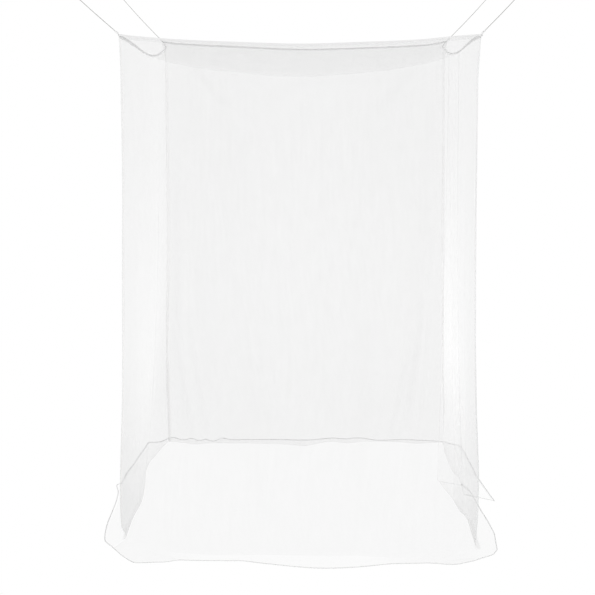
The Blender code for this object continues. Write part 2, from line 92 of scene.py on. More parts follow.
# Each roof edge as (share along it, sag, bow inwards).
EDGES = {
    "front": (
        (0.0, 0.0, 0.0), (0.04, 0.007, 0.004), (0.17, 0.022, 0.014), (0.33, 0.032, 0.022),
        (0.5, 0.039, 0.026), (0.67, 0.032, 0.022), (0.83, 0.022, 0.014), (0.92, 0.009, 0.007),
        (1.0, 0.0, 0.0),
    ),
    "back": (
        (0.0, 0.0, 0.0), (0.06, 0.012, 0.005), (0.25, 0.026, 0.015), (0.5, 0.041, 0.022),
        (0.75, 0.031, 0.015), (0.93, 0.017, 0.006), (1.0, 0.0, 0.0),
    ),
    "left": (
        (0.0, 0.0, 0.0), (0.08, 0.012, 0.01), (0.2, 0.036, 0.024), (0.35, 0.067, 0.038),
        (0.5, 0.079, 0.045), (0.65, 0.071, 0.0455), (0.8, 0.0495, 0.0425), (0.93, 0.032, 0.033),
        (1.0, 0.0, 0.0),
    ),
    "right": (
        (0.0, 0.0, 0.0), (0.08, 0.0095, 0.014), (0.2, 0.0335, 0.028), (0.35, 0.062, 0.04),
        (0.5, 0.07, 0.0455), (0.65, 0.061, 0.0465), (0.8, 0.039, 0.044), (0.93, 0.0275, 0.033),
        (1.0, 0.0, 0.0),
    ),
}
# Where each wall meets the floor, as (place along it, how far outside the roof's box).
FEET = {
    "front": (
        (-0.749, -0.03), (-0.65, 0.08), (-0.5, 0.165), (-0.35, 0.195), (0.0, 0.19), (0.2, 0.19),
        (0.37, 0.235), (0.55, 0.215), (0.68, 0.165), (0.744, 0.112),
    ),
    "back": (
        (-0.735, -0.008), (-0.69, -0.02), (-0.585, -0.072), (-0.46, -0.045), (-0.19, -0.058),
        (-0.09, -0.075), (-0.005, -0.112), (0.08, -0.045), (0.145, 0.0), (0.24, -0.035), (0.33, 0.005),
        (0.5, 0.0), (0.6, -0.04), (0.745, -0.01),
    ),
    "left": (
        (-0.97, 0.0), (-0.634, 0.003), (-0.375, -0.006), (-0.09, 0.006), (0.1, 0.022), (0.33, 0.036),
        (0.45, 0.035), (0.6, 0.022), (0.88, -0.004), (0.992, -0.015),
    ),
    "right_front": (
        (-1.112, -0.006), (-0.88, -0.006), (-0.69, -0.004), (-0.58, -0.011), (-0.49, -0.028),
        (-0.285, -0.042), (-0.05, -0.071), (0.114, -0.086),
    ),
    "right_rear": ((-0.185, 0.014), (0.06, 0.02), (0.33, -0.004), (0.65, -0.01), (0.99, -0.005)),
}
# Where each hem lies, in the same form.
HEMS = {
    "front": (
        (-0.79, 0.12), (-0.72, 0.275), (-0.665, 0.35), (-0.56, 0.352), (-0.48, 0.314), (-0.26, 0.313),
        (-0.14, 0.358), (0.0, 0.408), (0.09, 0.42), (0.3, 0.39), (0.45, 0.358), (0.541, 0.338),
        (0.63, 0.358), (0.71, 0.322), (0.768, 0.257), (0.812, 0.2), (0.835, 0.13),
    ),
    "back": (
        (-0.745, 0.078), (-0.715, 0.105), (-0.68, 0.055), (-0.58, 0.01), (-0.54, 0.036), (-0.49, 0.01),
        (-0.43, 0.042), (-0.17, 0.06), (0.0, 0.045), (0.155, 0.085), (0.22, 0.064), (0.3, 0.105),
        (0.415, 0.04), (0.64, 0.045), (0.76, 0.01),
    ),
    "left": (
        (-1.12, 0.04), (-1.005, 0.088), (-0.907, 0.099), (-0.714, 0.111), (-0.344, 0.118),
        (-0.162, 0.128), (-0.01, 0.151), (0.04, 0.134), (0.266, 0.132), (0.42, 0.119), (0.676, 0.108),
        (0.915, 0.092), (1.0, 0.02), (1.076, -0.003),
    ),
    "right_front": (
        (-1.13, 0.085), (-1.03, 0.09), (-0.87, 0.096), (-0.69, 0.09), (-0.54, 0.079), (-0.226, 0.063),
        (-0.048, 0.048), (0.021, 0.028),
    ),
    "right_rear": (
        (-0.315, 0.153), (-0.16, 0.14), (0.166, 0.118), (0.518, 0.106), (0.771, 0.099), (0.869, 0.089),
        (0.955, 0.04), (1.009, 0.012),
    ),
}
# Hanging folds, as (share along the foot, lean upwards, half width, depth, how far down the
# fold is full). Widths and leans are shares of the wall.
FOLDS = {
    "front": (
        (0.12, 0.03, 0.045, 0.008, 0.55), (0.3, -0.02, 0.07, -0.007, 0.6),
        (0.62, 0.02, 0.08, 0.008, 0.6), (0.86, -0.04, 0.05, -0.009, 0.55),
    ),
    "back": (
        (0.06, -0.05, 0.025, -0.016, 0.55), (0.14, -0.1, 0.035, 0.022, 0.5),
        (0.24, -0.12, 0.05, -0.014, 0.65), (0.52, 0.02, 0.06, -0.01, 0.8),
        (0.8, 0.09, 0.05, -0.013, 0.6), (0.9, 0.07, 0.035, 0.02, 0.5),
    ),
    "left": (
        (0.07, 0.0, 0.03, 0.01, 0.25), (0.17, 0.01, 0.035, -0.007, 0.3),
        (0.3, 0.02, 0.06, 0.007, 0.35), (0.6, 0.0, 0.06, -0.005, 0.45),
        (0.72, -0.02, 0.06, 0.004, 0.45), (0.9, 0.0, 0.035, -0.012, 0.4),
    ),
    "right_front": (
        (0.1, 0.0, 0.05, 0.01, 0.25), (0.3, 0.01, 0.06, -0.01, 0.35),
        (0.47, 0.01, 0.04, 0.006, 0.45), (0.9, 0.0, 0.08, -0.01, 0.5),
    ),
    "right_rear": (
        (0.12, 0.0, 0.07, 0.01, 0.5), (0.38, 0.02, 0.08, 0.009, 0.45),
        (0.66, -0.02, 0.08, -0.009, 0.45), (0.88, 0.0, 0.05, 0.01, 0.4),
    ),
}
# How far each corner seam strays outwards, as (height, distance).
SEAMS = {
    "front_left": (
        (0.0, 0.0), (0.02, 0.011), (0.05, 0.022), (0.17, 0.024), (0.44, 0.016), (0.6, 0.009),
        (1.2, 0.0), (1.62, -0.006), (2.0, -0.005), (2.153, 0.0),
    ),
    "front_right": (
        (0.0, 0.0), (0.15, 0.01), (0.26, 0.012), (0.55, 0.0), (0.8, -0.007), (1.45, -0.011),
        (1.95, -0.011), (2.153, 0.0),
    ),
    "back_left": ((0.0, 0.0), (0.5, 0.0), (0.9, -0.009), (1.3, -0.015), (2.05, -0.016), (2.153, 0.0)),
    "back_right": ((0.0, 0.0), (0.6, 0.0), (1.5, -0.005), (2.05, -0.01), (2.153, 0.0)),
}
# How far each cord reaches out across and along the room, and how late the walls beside the
# corner swing out to their feet.
CORNERS = {
    "front_left": (0.26, 0.26, 1.5), "front_right": (0.22, 0.29, 1.5), "back_left": (0.26, 0.26, 3.0),
    "back_right": (0.26, 0.26, 3.0),
}
# Ripples of the cloth on the floor, as (share along it, half width, height).
RIPPLES = {
    "front": ((0.15, 0.05, 0.006), (0.45, 0.08, 0.004), (0.72, 0.06, 0.009), (0.93, 0.04, 0.005)),
    "back": (
        (0.09, 0.02, 0.018), (0.14, 0.012, 0.007), (0.2, 0.018, 0.015), (0.62, 0.05, 0.005),
        (0.85, 0.05, 0.006),
    ),
    "left": ((0.12, 0.05, 0.005), (0.48, 0.03, 0.006), (0.75, 0.06, 0.004), (0.93, 0.02, 0.012)),
    "right_front": ((0.2, 0.06, 0.005), (0.5, 0.07, 0.004)),
    "right_rear": ((0.55, 0.07, 0.004), (0.9, 0.04, 0.007)),
}
# Each wall's roof edge, its way out, the corners at its ends, whether it stops short of the
# walls beside it, and how late it swings out to its foot.
WALLS = {
    "front": ("front", (0, -1), ("front_left", "front_right"), False, 1.5),
    "back": ("back", (0, 1), ("back_left", "back_right"), False, 7.0),
    "left": ("left", (-1, 0), ("front_left", "back_left"), True, 2.5),
    "right_front": ("right", (1, 0), ("front_right", None), True, 1.6),
    "right_rear": ("right", (1, 0), (None, "back_right"), True, 2.5),
}

# The soft creases that the panels keep from their folding and from how they were let down:
# (across, down, across, down, half width, depth), in metres over the cloth from the panel's
# first top corner. A crease runs between its two places and fades at both.
CREASES = {
    "front": (
        (0.10, 0.30, 0.16, 1.10, 0.030, 0.0020), (1.32, 0.25, 1.26, 1.20, 0.035, -0.0020),
        (0.55, 1.20, 0.60, 2.00, 0.045, 0.0018), (1.05, 1.10, 1.00, 2.05, 0.040, -0.0016),
        (1.00, 2.42, 1.22, 2.36, 0.016, 0.0050), (1.30, 2.24, 1.48, 2.30, 0.014, 0.0040),
        (0.12, 2.22, 0.40, 2.33, 0.020, 0.0030), (0.42, 2.26, 0.90, 2.24, 0.018, 0.0024),
    ),
    "back": (
        (0.06, 0.55, 0.08, 1.85, 0.022, -0.0050), (0.04, 1.45, 0.14, 2.12, 0.020, 0.0080),
        (0.12, 1.40, 0.22, 2.12, 0.018, -0.0060), (1.44, 0.90, 1.39, 2.05, 0.022, -0.0050),
        (1.42, 1.30, 1.30, 2.08, 0.024, 0.0080), (1.36, 1.45, 1.22, 2.08, 0.022, -0.0045),
        (0.12, 0.06, 0.36, 0.34, 0.026, 0.0030), (1.38, 0.06, 1.12, 0.36, 0.028, 0.0030),
    ),
    "left": (
        (0.30, 0.20, 0.34, 1.60, 0.050, 0.0020), (1.30, 0.12, 1.36, 1.80, 0.060, 0.0025),
        (1.75, 0.10, 1.80, 1.95, 0.060, -0.0020), (0.20, 1.20, 0.14, 2.05, 0.040, 0.0025),
    ),
    "right_front": (
        (0.20, 0.20, 0.26, 1.70, 0.045, 0.0035), (0.60, 0.12, 0.56, 1.90, 0.050, -0.0035),
        (0.12, 1.20, 0.08, 2.05, 0.030, 0.0040),
    ),
    "right_rear": (
        (0.45, 0.12, 0.50, 1.80, 0.050, 0.0035), (0.85, 0.10, 0.80, 1.90, 0.045, -0.0040),
        (1.10, 0.20, 1.14, 1.70, 0.035, 0.0035),
    ),
}

# The roof's creases in the same form, from its front left corner across and back.
ROOF_CREASES = (
    (0.05, 0.10, 0.45, 0.60, 0.030, 0.0050), (1.45, 0.10, 1.05, 0.60, 0.030, 0.0050),
    (0.05, 1.90, 0.40, 1.45, 0.035, 0.0060), (1.45, 1.90, 1.10, 1.45, 0.035, 0.0060),
    (0.25, 1.00, 1.20, 1.05, 0.060, -0.0040),
)

# How finely the sheets are meshed.
CROWDING = 0.4  # how much closer together a wall's columns are near its ends
COLUMNS = {"front": 170, "back": 170, "left": 190, "right_front": 130, "right_rear": 140}
HANG = 1 - (1 - np.linspace(0, 1, 118)) ** 1.25  # shares of the drop, closer near the floor
BEND = np.radians(np.linspace(0, 90, 7)[1:])
ON_FLOOR = np.linspace(0, 1, 27)[1:]
ROLL_STEPS = 10
RIM_DEPTH = 0.0105  # how far the roof's rim turns down inside the walls
FRONT_RIM_DEPTH = 0.0175
SIDE_RIM_DEEPER = 0.005  # added to a side rim's depth towards its ends

# How close the netting lies, as a share of its usual cover.
FLOOR_CLOSENESS = {"front": 0.8, "back": 0.65, "left": 0.5, "right_front": 0.5, "right_rear": 0.5}
# A hem is drawn out flat in front, and bunched towards the back.
HEM_CLOSENESS = {
    "front": (0.45, 0.45), "back": (0.8, 0.8), "left": (0.38, 0.8), "right_front": (0.38, 0.9),
    "right_rear": (0.35, 0.8),
}
TURNED_CLOSENESS = {
    "front": (0.8, 0.8), "back": (1.7, 1.7), "left": (0.5, 2.4), "right_front": (0.5, 1.4),
    "right_rear": (0.6, 1.4),
}
SIDE_CLOSENESS = 0.6
# Cover added low on the side walls and at the foot of the front seams, as painted shade near the floor.
LOW_SHADE_COVER = {"left": 0.9, "right_front": 0.8, "right_rear": 0.8}  # added low down
TIP_SHADE_COVER = 0.45  # added at the foot of the front seams
DOOR_ROLL_CLOSENESS = {"right_front": 2.5, "right_rear": 2.8}  # of a free edge on the floor
# Cover along a crease is partly the cloth doubled there and partly painted shade.
CREASE_COVER_AND_SHADE = 60.0  # added along a crease, for each metre of its depth

# The turned edges, the roof's panel and the slow waves of all the cloth.
ALLOWANCE_COLUMNS = 5
ALLOWANCE_DEPTH = 0.0009  # how far inside the wall an allowance lies
ALLOWANCE_PLACES = ((1, 1), (0.75, 1), (0.5, 1), (0.12, 1), (-0.05, 0.5))  # shares in and deep
ALLOWANCE_COVER = {"front": 0.3, "back": 0.08}  # pressed flat, so that it hardly shows
LAID_ALLOWANCE_COVER = 0.1
ROOF_GRID = (150, 180)  # columns across and rows along
ROOF_CLOSENESS = (0.40, 0.80)  # at its lowest part and by its seam
ROOF_RIM_CLOSENESS = {"side": 0.4, "back": 0.38, "front": 0.8}
ROOF_SEED = 41
WAVE_COUNT = 14
WAVE_PITCHES = (0.05, 0.28)
HUNG_SLANT = 0.25  # how far the waves' directions stray, in radians, on a hanging wall
LAID_SLANT = 1.2
WAVES_TURN = (1.95, 2.15)  # how far down a wall its waves change from hung to laid ones
LAID_WAVES = 0.6  # their height as a share of the hung ones'

# The cords, the tapes and their stitching.
TAPE_STATIONS = 240
TAPE_CORNER = 0.0004  # the rounding of a roof tape's corners
TAPE_BEVEL = 0.0003  # and of a tab's
PUCKER = 0.00022  # how far the stitching puckers the tape
PUCKER_PITCHES = (0.017, 0.049)
TAB_TURN = 12  # degrees between the rings of a tab's bends
PLY_RADIUS = 0.00082
PLY_OFFSET = 0.00076  # from the cord's middle to a ply's
HITCH_SLIMNESS = 0.72  # the tab's hitch is of thinner, lighter cord than the rest
CORD_STEPS = 32
LEG_STEPS = 8
LEG_SPREAD = 0.45  # how far an eye's legs lie to each side of its knot, in cord widths
POINT_SPACING = 0.0002  # the least between two points of an eye
WRAP_TURNS = 3.5
WRAP_STEPS = 56
WRAP_INSET = 0.0011  # from a knot's surface to the middle of its wraps
WRAP_SLIMNESS = 0.73  # the wraps' cord, as a share of the eye's
WRAP_STEP = 0.0009
WRAP_PITCH = 0.006
SEWN_INSET = 0.0025  # from a corner seam to its stitches
SEWN_STAND = 0.0006  # from a wall to the middle of its stitches
TAPE_ROWS = (0.0024, -0.0024)  # the tape's two rows of stitches, from its middle
THREAD_RADIUS = 0.0004
FINE_THREAD_RADIUS = 0.00022
OVERLOCK_STEP = 0.0011
OVERLOCK_PITCH = 0.007
OVERLOCK_STAND = 0.0001  # from a rolled hem to the middle of its overlock thread
STITCHED = (0.004, 0.996, 300)  # the tape's rows of stitches: their ends and how many points
STITCH_STAND = 0.0003  # from the tape to the middle of its stitches

# The studio.
CAMERA_PLACE = (0.085, -8.336, -0.389)
CAMERA_TURN = (82.48, 0, 0.74)  # degrees
CAMERA_LENS = 106.25
FLOOR_CLEARANCE = 0.0005
FLOOR_REACH = 40.0
FLOOR_SIDES = 48
# Each soft light's place, what it looks at, its size, its spread and its setting. The weak ones
# inside the net lift its long sides.
LIGHTS = {
    "left_light": ((-4.2, 0, -1.2), (0, 0, -1.2), (3.0, 3.0), 180, "sides"),
    "right_light": ((4.2, 0, -1.2), (0, 0, -1.2), (3.0, 3.0), 180, "sides"),
    "top_light": ((0, 0, 3.2), (0, 0, 0), (4.0, 4.0), 180, "top"),
    "inner_left_light": ((0, 0, -1.58), (-1, 0, -1.58), (1.3, 0.8), 130, "inside_left"),
    "inner_right_light": ((0, 0, -1.58), (1, 0, -1.58), (1.3, 0.8), 130, "inside_right"),
}

GROUND_LIFT = CLOTH / 2 + SEAM_GAP  # from the floor to the middle of the cloth that lies on it
# Which of a wall's finishes each cell of its grid has.
PLAIN, ROLLED, OVERLOCKED = 0, 1, 2
WALL_FINISHES = ("polyester_netting", "rolled_netting", "overlocked_netting")
CLOTH_PIECES = {
    "front": "front_wall", "back": "back_wall", "left": "left_wall", "right_front": "door_front",
    "right_rear": "door_rear",
}


# ---------------------------------------------------------------- curves and surfaces


def smooth(rows, at, column=1):
    """A smooth curve through a table's rows, read at many places, with no overshoot."""
    x = np.array([row[0] for row in rows], float)
    y = np.array([row[column] for row in rows], float)
    step = np.diff(x)
    rise = np.diff(y) / step
    slope = np.zeros_like(y)
    slope[0], slope[-1] = rise[0], rise[-1]
    same_way = rise[:-1] * rise[1:] > 0
    mean = 2 * rise[:-1] * rise[1:] / np.where(same_way, rise[:-1] + rise[1:], 1)
    slope[1:-1] = np.where(same_way, mean, 0)
    at = np.clip(at, x[0], x[-1])
    i = np.clip(np.searchsorted(x, at) - 1, 0, len(step) - 1)
    t = (at - x[i]) / step[i]
    return (
        y[i] * (1 + 2 * t) * (1 - t) ** 2
        + y[i + 1] * t * t * (3 - 2 * t)
        + step[i] * slope[i] * t * (1 - t) ** 2
        - step[i] * slope[i + 1] * t * t * (1 - t)
    )


def ease(low, high, value):
    """0 below low, 1 above high, and smooth between."""
    t = np.clip((np.asarray(value, float) - low) / (high - low), 0, 1)
    return t * t * (3 - 2 * t)


def fall(low, high, value):
    """1 below low, 0 above high, and smooth between."""
    return 1 - ease(low, high, value)


def between(low, high, share):
    """0 near both ends of a span from 0 to 1, and 1 along its middle."""
    return ease(low, high, share) * ease(low, high, 1 - share)


def mound(offset, width):
    """1 at no offset, and 0 beyond about twice the width to either side."""
    return np.exp(-((offset / width) ** 2))


def unit(vectors):
    """Each vector at length 1."""
    return vectors / np.maximum(np.linalg.norm(vectors, axis=-1, keepdims=True), 1e-12)


def edge_line(edge, share):
    """Points of the roof seam on one side, where the wall's middle hangs."""
    share = np.atleast_1d(np.asarray(share, float))
    sag, bow = smooth(EDGES[edge], share, 1), smooth(EDGES[edge], share, 2)
    z = FLOOR + CORNER_HEIGHT - sag
    if edge in ("front", "back"):
        y = (NET_LENGTH / 2 - bow) * (-1 if edge == "front" else 1)
        return np.stack([NET_WIDTH * (share - 0.5), y, z], 1)
    x = (NET_WIDTH / 2 - bow) * (-1 if edge == "left" else 1)
    return np.stack([x, NET_LENGTH * (share - 0.5), z], 1)


def plan_line(wall, rows, share):
    """Points of a foot or hem outline on the floor, as X and Y."""
    along = rows[0][0] + (rows[-1][0] - rows[0][0]) * share
    out = smooth(rows, along)
    if wall in ("front", "back"):
        return np.stack([along, (NET_LENGTH / 2 + out) * (-1 if wall == "front" else 1)], 1)
    return np.stack([(NET_WIDTH / 2 + out) * (-1 if wall == "left" else 1), along], 1)


def fold_depth(wall, share, drop):
    """How far the hanging folds push a wall outwards."""
    depth = np.zeros(np.broadcast(share, drop).shape)
    for foot, lean, width, size, faded_in in FOLDS[wall]:
        across = share - foot - lean * (1 - drop)
        depth += size * mound(across, width) * ease(0.05, faded_in, drop)
    return depth * between(0.0, FLAT_ENDS, share)


def near_corners(wall, share):
    """(name, nearness) of each corner of a wall: 1 at its seam, fading to 0 away from it."""
    for corner, distance in zip(WALLS[wall][2], (share, 1 - share)):
        if corner:
            yield corner, fall(0.0, SEAM_SPREAD, distance)


def wall_surface(wall, stations):
    """A wall's columns of points, from the roof seam to the floor and out to its hem."""
    edge, outward, _, _, lateness = WALLS[wall]
    outward = np.array([*outward, 0.0])
    share = (stations - stations[0]) / (stations[-1] - stations[0])
    top = edge_line(edge, stations)
    lift = np.full(len(share), GROUND_LIFT)
    if wall == "right_rear":
        top[:, 0] += LAP_GAP
        lift += 2 * LAP_GAP * fall(*LAP_ENDS, share)
    late = np.full(len(share), float(lateness))
    for corner, nearness in near_corners(wall, share):
        late += (CORNERS[corner][2] - late) * nearness
    foot = plan_line(wall, FEET[wall], share)
    hem = plan_line(wall, HEMS[wall], share)
    reach = np.linalg.norm(hem - foot, axis=1)
    along = (hem - foot) / reach[:, None]
    radius = np.minimum(BEND_RADIUS, 0.4 * reach)
    ground = FLOOR + lift
    drop = HANG[None, :]
    swing = drop ** late[:, None]
    hang = np.empty((len(share), len(HANG), 3))
    for axis in (0, 1):
        hang[..., axis] = top[:, axis, None] + (foot[:, axis] - top[:, axis])[:, None] * swing
    hang[..., 2] = top[:, 2, None] + (ground + radius - top[:, 2])[:, None] * drop
    folds = fold_depth(wall, share[:, None], drop) * fall(0.9, 1.0, drop)
    hang += outward * folds[..., None]
    for corner, nearness in near_corners(wall, share):
        side = -1 if corner.endswith("left") else 1
        stray = side * smooth(SEAMS[corner], CORNER_HEIGHT * (1 - HANG))
        hang[..., 0] += stray[None, :] * nearness[:, None]
    turn = BEND[None, :, None]
    bend = np.empty((len(share), len(BEND), 3))
    bend[..., :2] = foot[:, None] + (along * radius[:, None])[:, None] * (1 - np.cos(turn))
    bend[..., 2] = ground[:, None] + radius[:, None] * (1 - np.sin(turn[..., 0]))
    out = ON_FLOOR[None, :]
    flat = np.empty((len(share), len(ON_FLOOR), 3))
    run = radius[:, None] + (reach - radius)[:, None] * out
    flat[..., :2] = foot[:, None] + along[:, None] * run[..., None]
    ripple = sum(size * mound(share - at, width) for at, width, size in RIPPLES[wall])
    ripple = ripple * between(0.0, FLAT_ENDS, share)
    flat[..., 2] = ground[:, None] + ripple[:, None] * np.sin(np.pi * 0.75 * out)
    return np.concatenate([hang, bend, flat], 1)


def roof_surface(across, along):
    """The roof's points, its outermost ones drawn in from the seam to clear the walls."""
    u, v = across[:, None, None], along[None, :, None]
    front, back = edge_line("front", across)[:, None], edge_line("back", across)[:, None]
    left, right = edge_line("left", along)[None], edge_line("right", along)[None]
    corner = {(e, s): edge_line(e, s)[0] for e in ("front", "back") for s in (0, 1)}
    points = front * (1 - v) + back * v + left * (1 - u) + right * u
    points = points - corner["front", 0] * (1 - u) * (1 - v) - corner["front", 1] * u * (1 - v)
    points = points - corner["back", 0] * (1 - u) * v - corner["back", 1] * u * v
    belly = (np.sin(np.pi * across)[:, None] * np.sin(np.pi * along)[None]).clip(0) ** ROOF_FULLNESS
    points[..., 2] -= ROOF_BELLY * belly
    points[0, :, 0] += ROOF_INSET
    points[-1, :, 0] -= ROOF_INSET
    points[:, 0, 1] += ROOF_INSET
    points[:, -1, 1] -= ROOF_INSET
    return points


def normals_of(points, turned):
    """The unit normals of a grid of points, on its outer side."""
    across = np.gradient(points, axis=0)
    down = np.gradient(points, axis=1)
    return unit(np.cross(down, across) if turned else np.cross(across, down))


def lengths(points, axis):
    """How far each point of a grid lies along the cloth from its first edge."""
    step = np.linalg.norm(np.diff(points, axis=axis), axis=-1)
    start = np.zeros_like(np.take(step, [0], axis=axis))
    return np.cumsum(np.concatenate([start, step], axis=axis), axis=axis)


def crease_depth(creases, across, down):
    """How far the soft creases push the cloth out at each place on it."""
    depth = np.zeros(across.shape)
    for x0, y0, x1, y1, width, size in creases:
        line = np.array([x1 - x0, y1 - y0])
        length = np.linalg.norm(line)
        line /= length
        run = ((across - x0) * line[0] + (down - y0) * line[1]) / length
        off = (across - x0) * line[1] - (down - y0) * line[0]
        fade = np.sin(np.pi * run.clip(0, 1)) ** 0.7
        depth += size * fade * mound(off, width)
    return depth


def unevenness(across, down, seed, size, upright):
    """Slight slow waves, longer down the cloth than across it where it hangs."""
    draw = np.random.default_rng(seed)
    waves = np.zeros(across.shape)
    for _ in range(WAVE_COUNT):
        pitch = draw.uniform(*WAVE_PITCHES)
        slant = draw.normal(0, HUNG_SLANT if upright else LAID_SLANT)
        phase = draw.uniform(0, 2 * math.pi)
        turn = 2 * math.pi / pitch
        waves += draw.uniform(0.3, 1.0) * np.sin(
            turn * (across * math.cos(slant) + down * math.sin(slant) * 0.5) + phase
        )
    return waves * size / WAVE_COUNT**0.5


def wall_stations(wall):
    """The places along the roof edge of a wall's columns, closer together near its ends."""
    first, last = {"right_front": DOOR_FRONT, "right_rear": DOOR_REAR}.get(wall, (0.0, 1.0))
    even = np.linspace(0, 1, COLUMNS[wall])
    eased = even - CROWDING * np.sin(2 * np.pi * even) / (2 * np.pi)
    return first + (last - first) * eased


def stop_short(points, column, neighbour):
    """Draws a wall's end column in towards its neighbour, square to the column itself."""
    line = unit(np.gradient(points[column], axis=0))
    step = points[neighbour] - points[column]
    step -= line * (step * line).sum(1, keepdims=True)
    points[column] += unit(step) * CORNER_GAP


def wall_cloth(wall, sizes):
    """A wall's finished grid: its points, which of its finishes each cell has and whether its
    faces are turned round."""
    stations = wall_stations(wall)
    points = wall_surface(wall, stations)
    turned = wall in ("front", "right_front", "right_rear")
    normals = normals_of(points, turned)
    across, down = lengths(points, 0)[:, :1] + 0 * points[..., 0], lengths(points, 1)
    share = (stations - stations[0]) / (stations[-1] - stations[0])
    depth = crease_depth(CREASES[wall], across, down)
    hanging = fall(*WAVES_TURN, down)
    seed = sorted(CREASES).index(wall) + 3
    depth = depth + unevenness(across, down, seed, sizes.waves, True) * hanging
    depth += unevenness(across, down, seed + 20, sizes.waves * LAID_WAVES, False) * (1 - hanging)
    # Waves and creases fade out by the seams, below the roof and before the hem.
    quiet = between(0.0, 0.05, share)[:, None] * ease(0.0, 0.10, down)
    quiet = quiet * ease(0.0, 0.03, lengths(points[:, ::-1], 1)[:, ::-1])
    points = points + normals * (depth * quiet)[..., None]
    points[..., 2] = np.maximum(points[..., 2], FLOOR + GROUND_LIFT * 0.9)
    short, corners = WALLS[wall][3], WALLS[wall][2]
    if short and corners[0]:
        stop_short(points, 0, 1)
    if short and corners[1]:
        stop_short(points, -1, -2)
    finish = np.full((points.shape[0] - 1, points.shape[1] - 1), PLAIN)
    roll = sizes.roll if wall == "front" else sizes.side_roll
    points, finish = roll_hem(points, finish, roll)
    normals = normals_of(points, turned)
    if wall in ("front", "back"):
        width = sizes.allowance if wall == "front" else sizes.back_allowance
        for end in (0, 1):
            points, finish = turn_allowance(points, finish, normals, end, width)
            normals = normals_of(points, turned)
    # A door panel's free edge is rolled more tightly where it hangs than on the floor.
    lying = ease(len(HANG), len(HANG) + len(BEND) + 2, np.arange(points.shape[1]))[:, None]
    width = sizes.edge_roll + (sizes.side_roll - sizes.edge_roll) * lying
    if wall == "right_front":
        points, finish = roll_edge(points, finish, normals, -1, -1, width)
    if wall == "right_rear":
        points, finish = roll_edge(points, finish, normals, 0, 1, width)
    return points, finish, turned


def back_closeness(across, x, height):
    """How close the back wall's netting hangs: looser over its middle, and bunched low down
    beside its left seam."""
    middle = (x / 0.45) ** 2 + ((height - 0.96) / 0.6) ** 2
    bunched = fall(0.40, 0.50, height) * mound(across - 0.008, 0.009)
    lie = 0.85 + 0.1 * ease(0.15, 0.45, abs(x)) - 0.28 * np.exp(-middle)
    return lie + 2.0 * bunched


def side_closeness(wall, y, height):
    """How close a side wall's netting hangs: closer low down, most towards the front, as painted
    shade near the floor, and looser high up by the back, as painted light from the lamps."""
    gathered = fall(0.0, 0.8, height) * fall(-0.7, 0.3, y)
    tip = fall(0.05, 0.25, height) * fall(-1.05, -0.65, y)
    lie = SIDE_CLOSENESS + LOW_SHADE_COVER[wall] * gathered + TIP_SHADE_COVER * tip
    lie += 0.40 * fall(0.3, 0.9, height) + 0.1 * ease(1.4, 1.9, height)
    lie += 0.15 * fall(-0.95, -0.7, y) * ease(0.4, 0.6, height)
    knee = ease(0.15, 0.35, height) * fall(0.6, 1.0, height)
    if wall == "left":
        lie += (0.15 + 0.25 * ease(0.3, 0.7, y)) * knee
        lie -= 0.22 * mound(y - 0.15, 0.4) * ease(1.1, 1.4, height)
    else:
        # Each door panel covers less where the other hangs over it, as painted light on the overlap.
        lie += 0.35 * knee
        lie *= 1 - 0.45 * ease(-0.32, -0.27, y) * fall(0.17, 0.22, y)
    # Less cover high up by the back, as painted light from the lamps.
    return lie * (1 - 0.65 * ease(0.68, 0.88, y) * ease(0.7, 1.1, height))


def wall_closeness(wall, points):
    """How close a wall's netting lies: closer low on the side walls, as painted shade, and along its
    creases, partly doubled cloth and partly painted shade, and loose when spread on the floor."""
    standing = len(HANG) + len(BEND)
    spread = ease(standing, standing + 4, np.arange(points.shape[1]))[None]
    across, down = lengths(points, 0)[:, :1] + 0 * points[..., 0], lengths(points, 1)
    height = points[..., 2] - FLOOR
    if wall == "front":
        lie = np.ones(height.shape)
    elif wall == "back":
        lie = back_closeness(across, points[..., 0], height)
    else:
        lie = side_closeness(wall, points[..., 1], height)
    lie *= 1 + CREASE_COVER_AND_SHADE * abs(crease_depth(CREASES[wall], across, down))
    if wall in ("front", "back"):
        pressed = ALLOWANCE_COVER[wall]
        for ends in (slice(0, ALLOWANCE_COLUMNS), slice(-ALLOWANCE_COLUMNS, None)):
            lie[ends] = pressed * (1 - spread) + LAID_ALLOWANCE_COVER * spread
    loose = FLOOR_CLOSENESS[wall] * lie.clip(0.1, 1.5)
    if wall == "front":
        aside = abs(points[..., 0] + 0.05)
        loose *= (0.76 + 0.55 * ease(0.3, 0.6, aside)) * (1 - 0.3 * ease(0.72, 0.86, aside))
    closeness = lie * (1 - spread) + loose * spread
    hem = points.shape[1] - ROLL_STEPS - 1
    start = 0.0 if wall == "left" else -0.2
    bunched = ease(start, start + 0.2, points[:, -1:, 1])
    for rows, (drawn_out, gathered) in (
        (slice(hem - 2, hem), TURNED_CLOSENESS[wall]), (slice(hem, None), HEM_CLOSENESS[wall]),
    ):
        closeness[:, rows] = drawn_out + (gathered - drawn_out) * bunched
    if wall == "left":
        closeness[:, hem - 2 :] *= 1 - 0.6 * ease(-0.75, -0.35, points[:, -1:, 1]) * (1 - bunched)
    if wall == "right_front":
        closeness[-ROLL_STEPS - 1 :, standing:] = DOOR_ROLL_CLOSENESS[wall]
    if wall == "right_rear":
        drawn_out = 1.7 * ease(0.79, 0.82, points[: ROLL_STEPS + 1, standing:, 0])
        closeness[: ROLL_STEPS + 1, standing:] = DOOR_ROLL_CLOSENESS[wall] - drawn_out
    return closeness


def roll_ring(edge, outward, up, width):
    """Lines of points round a roll of cloth, from where it leaves the cloth's edge."""
    radius = width / 2
    centre = edge - outward * radius + up * radius
    turns = np.radians(np.linspace(-90, 230, ROLL_STEPS + 1))
    return [centre + radius * (outward * math.cos(t) + up * math.sin(t)) for t in turns]


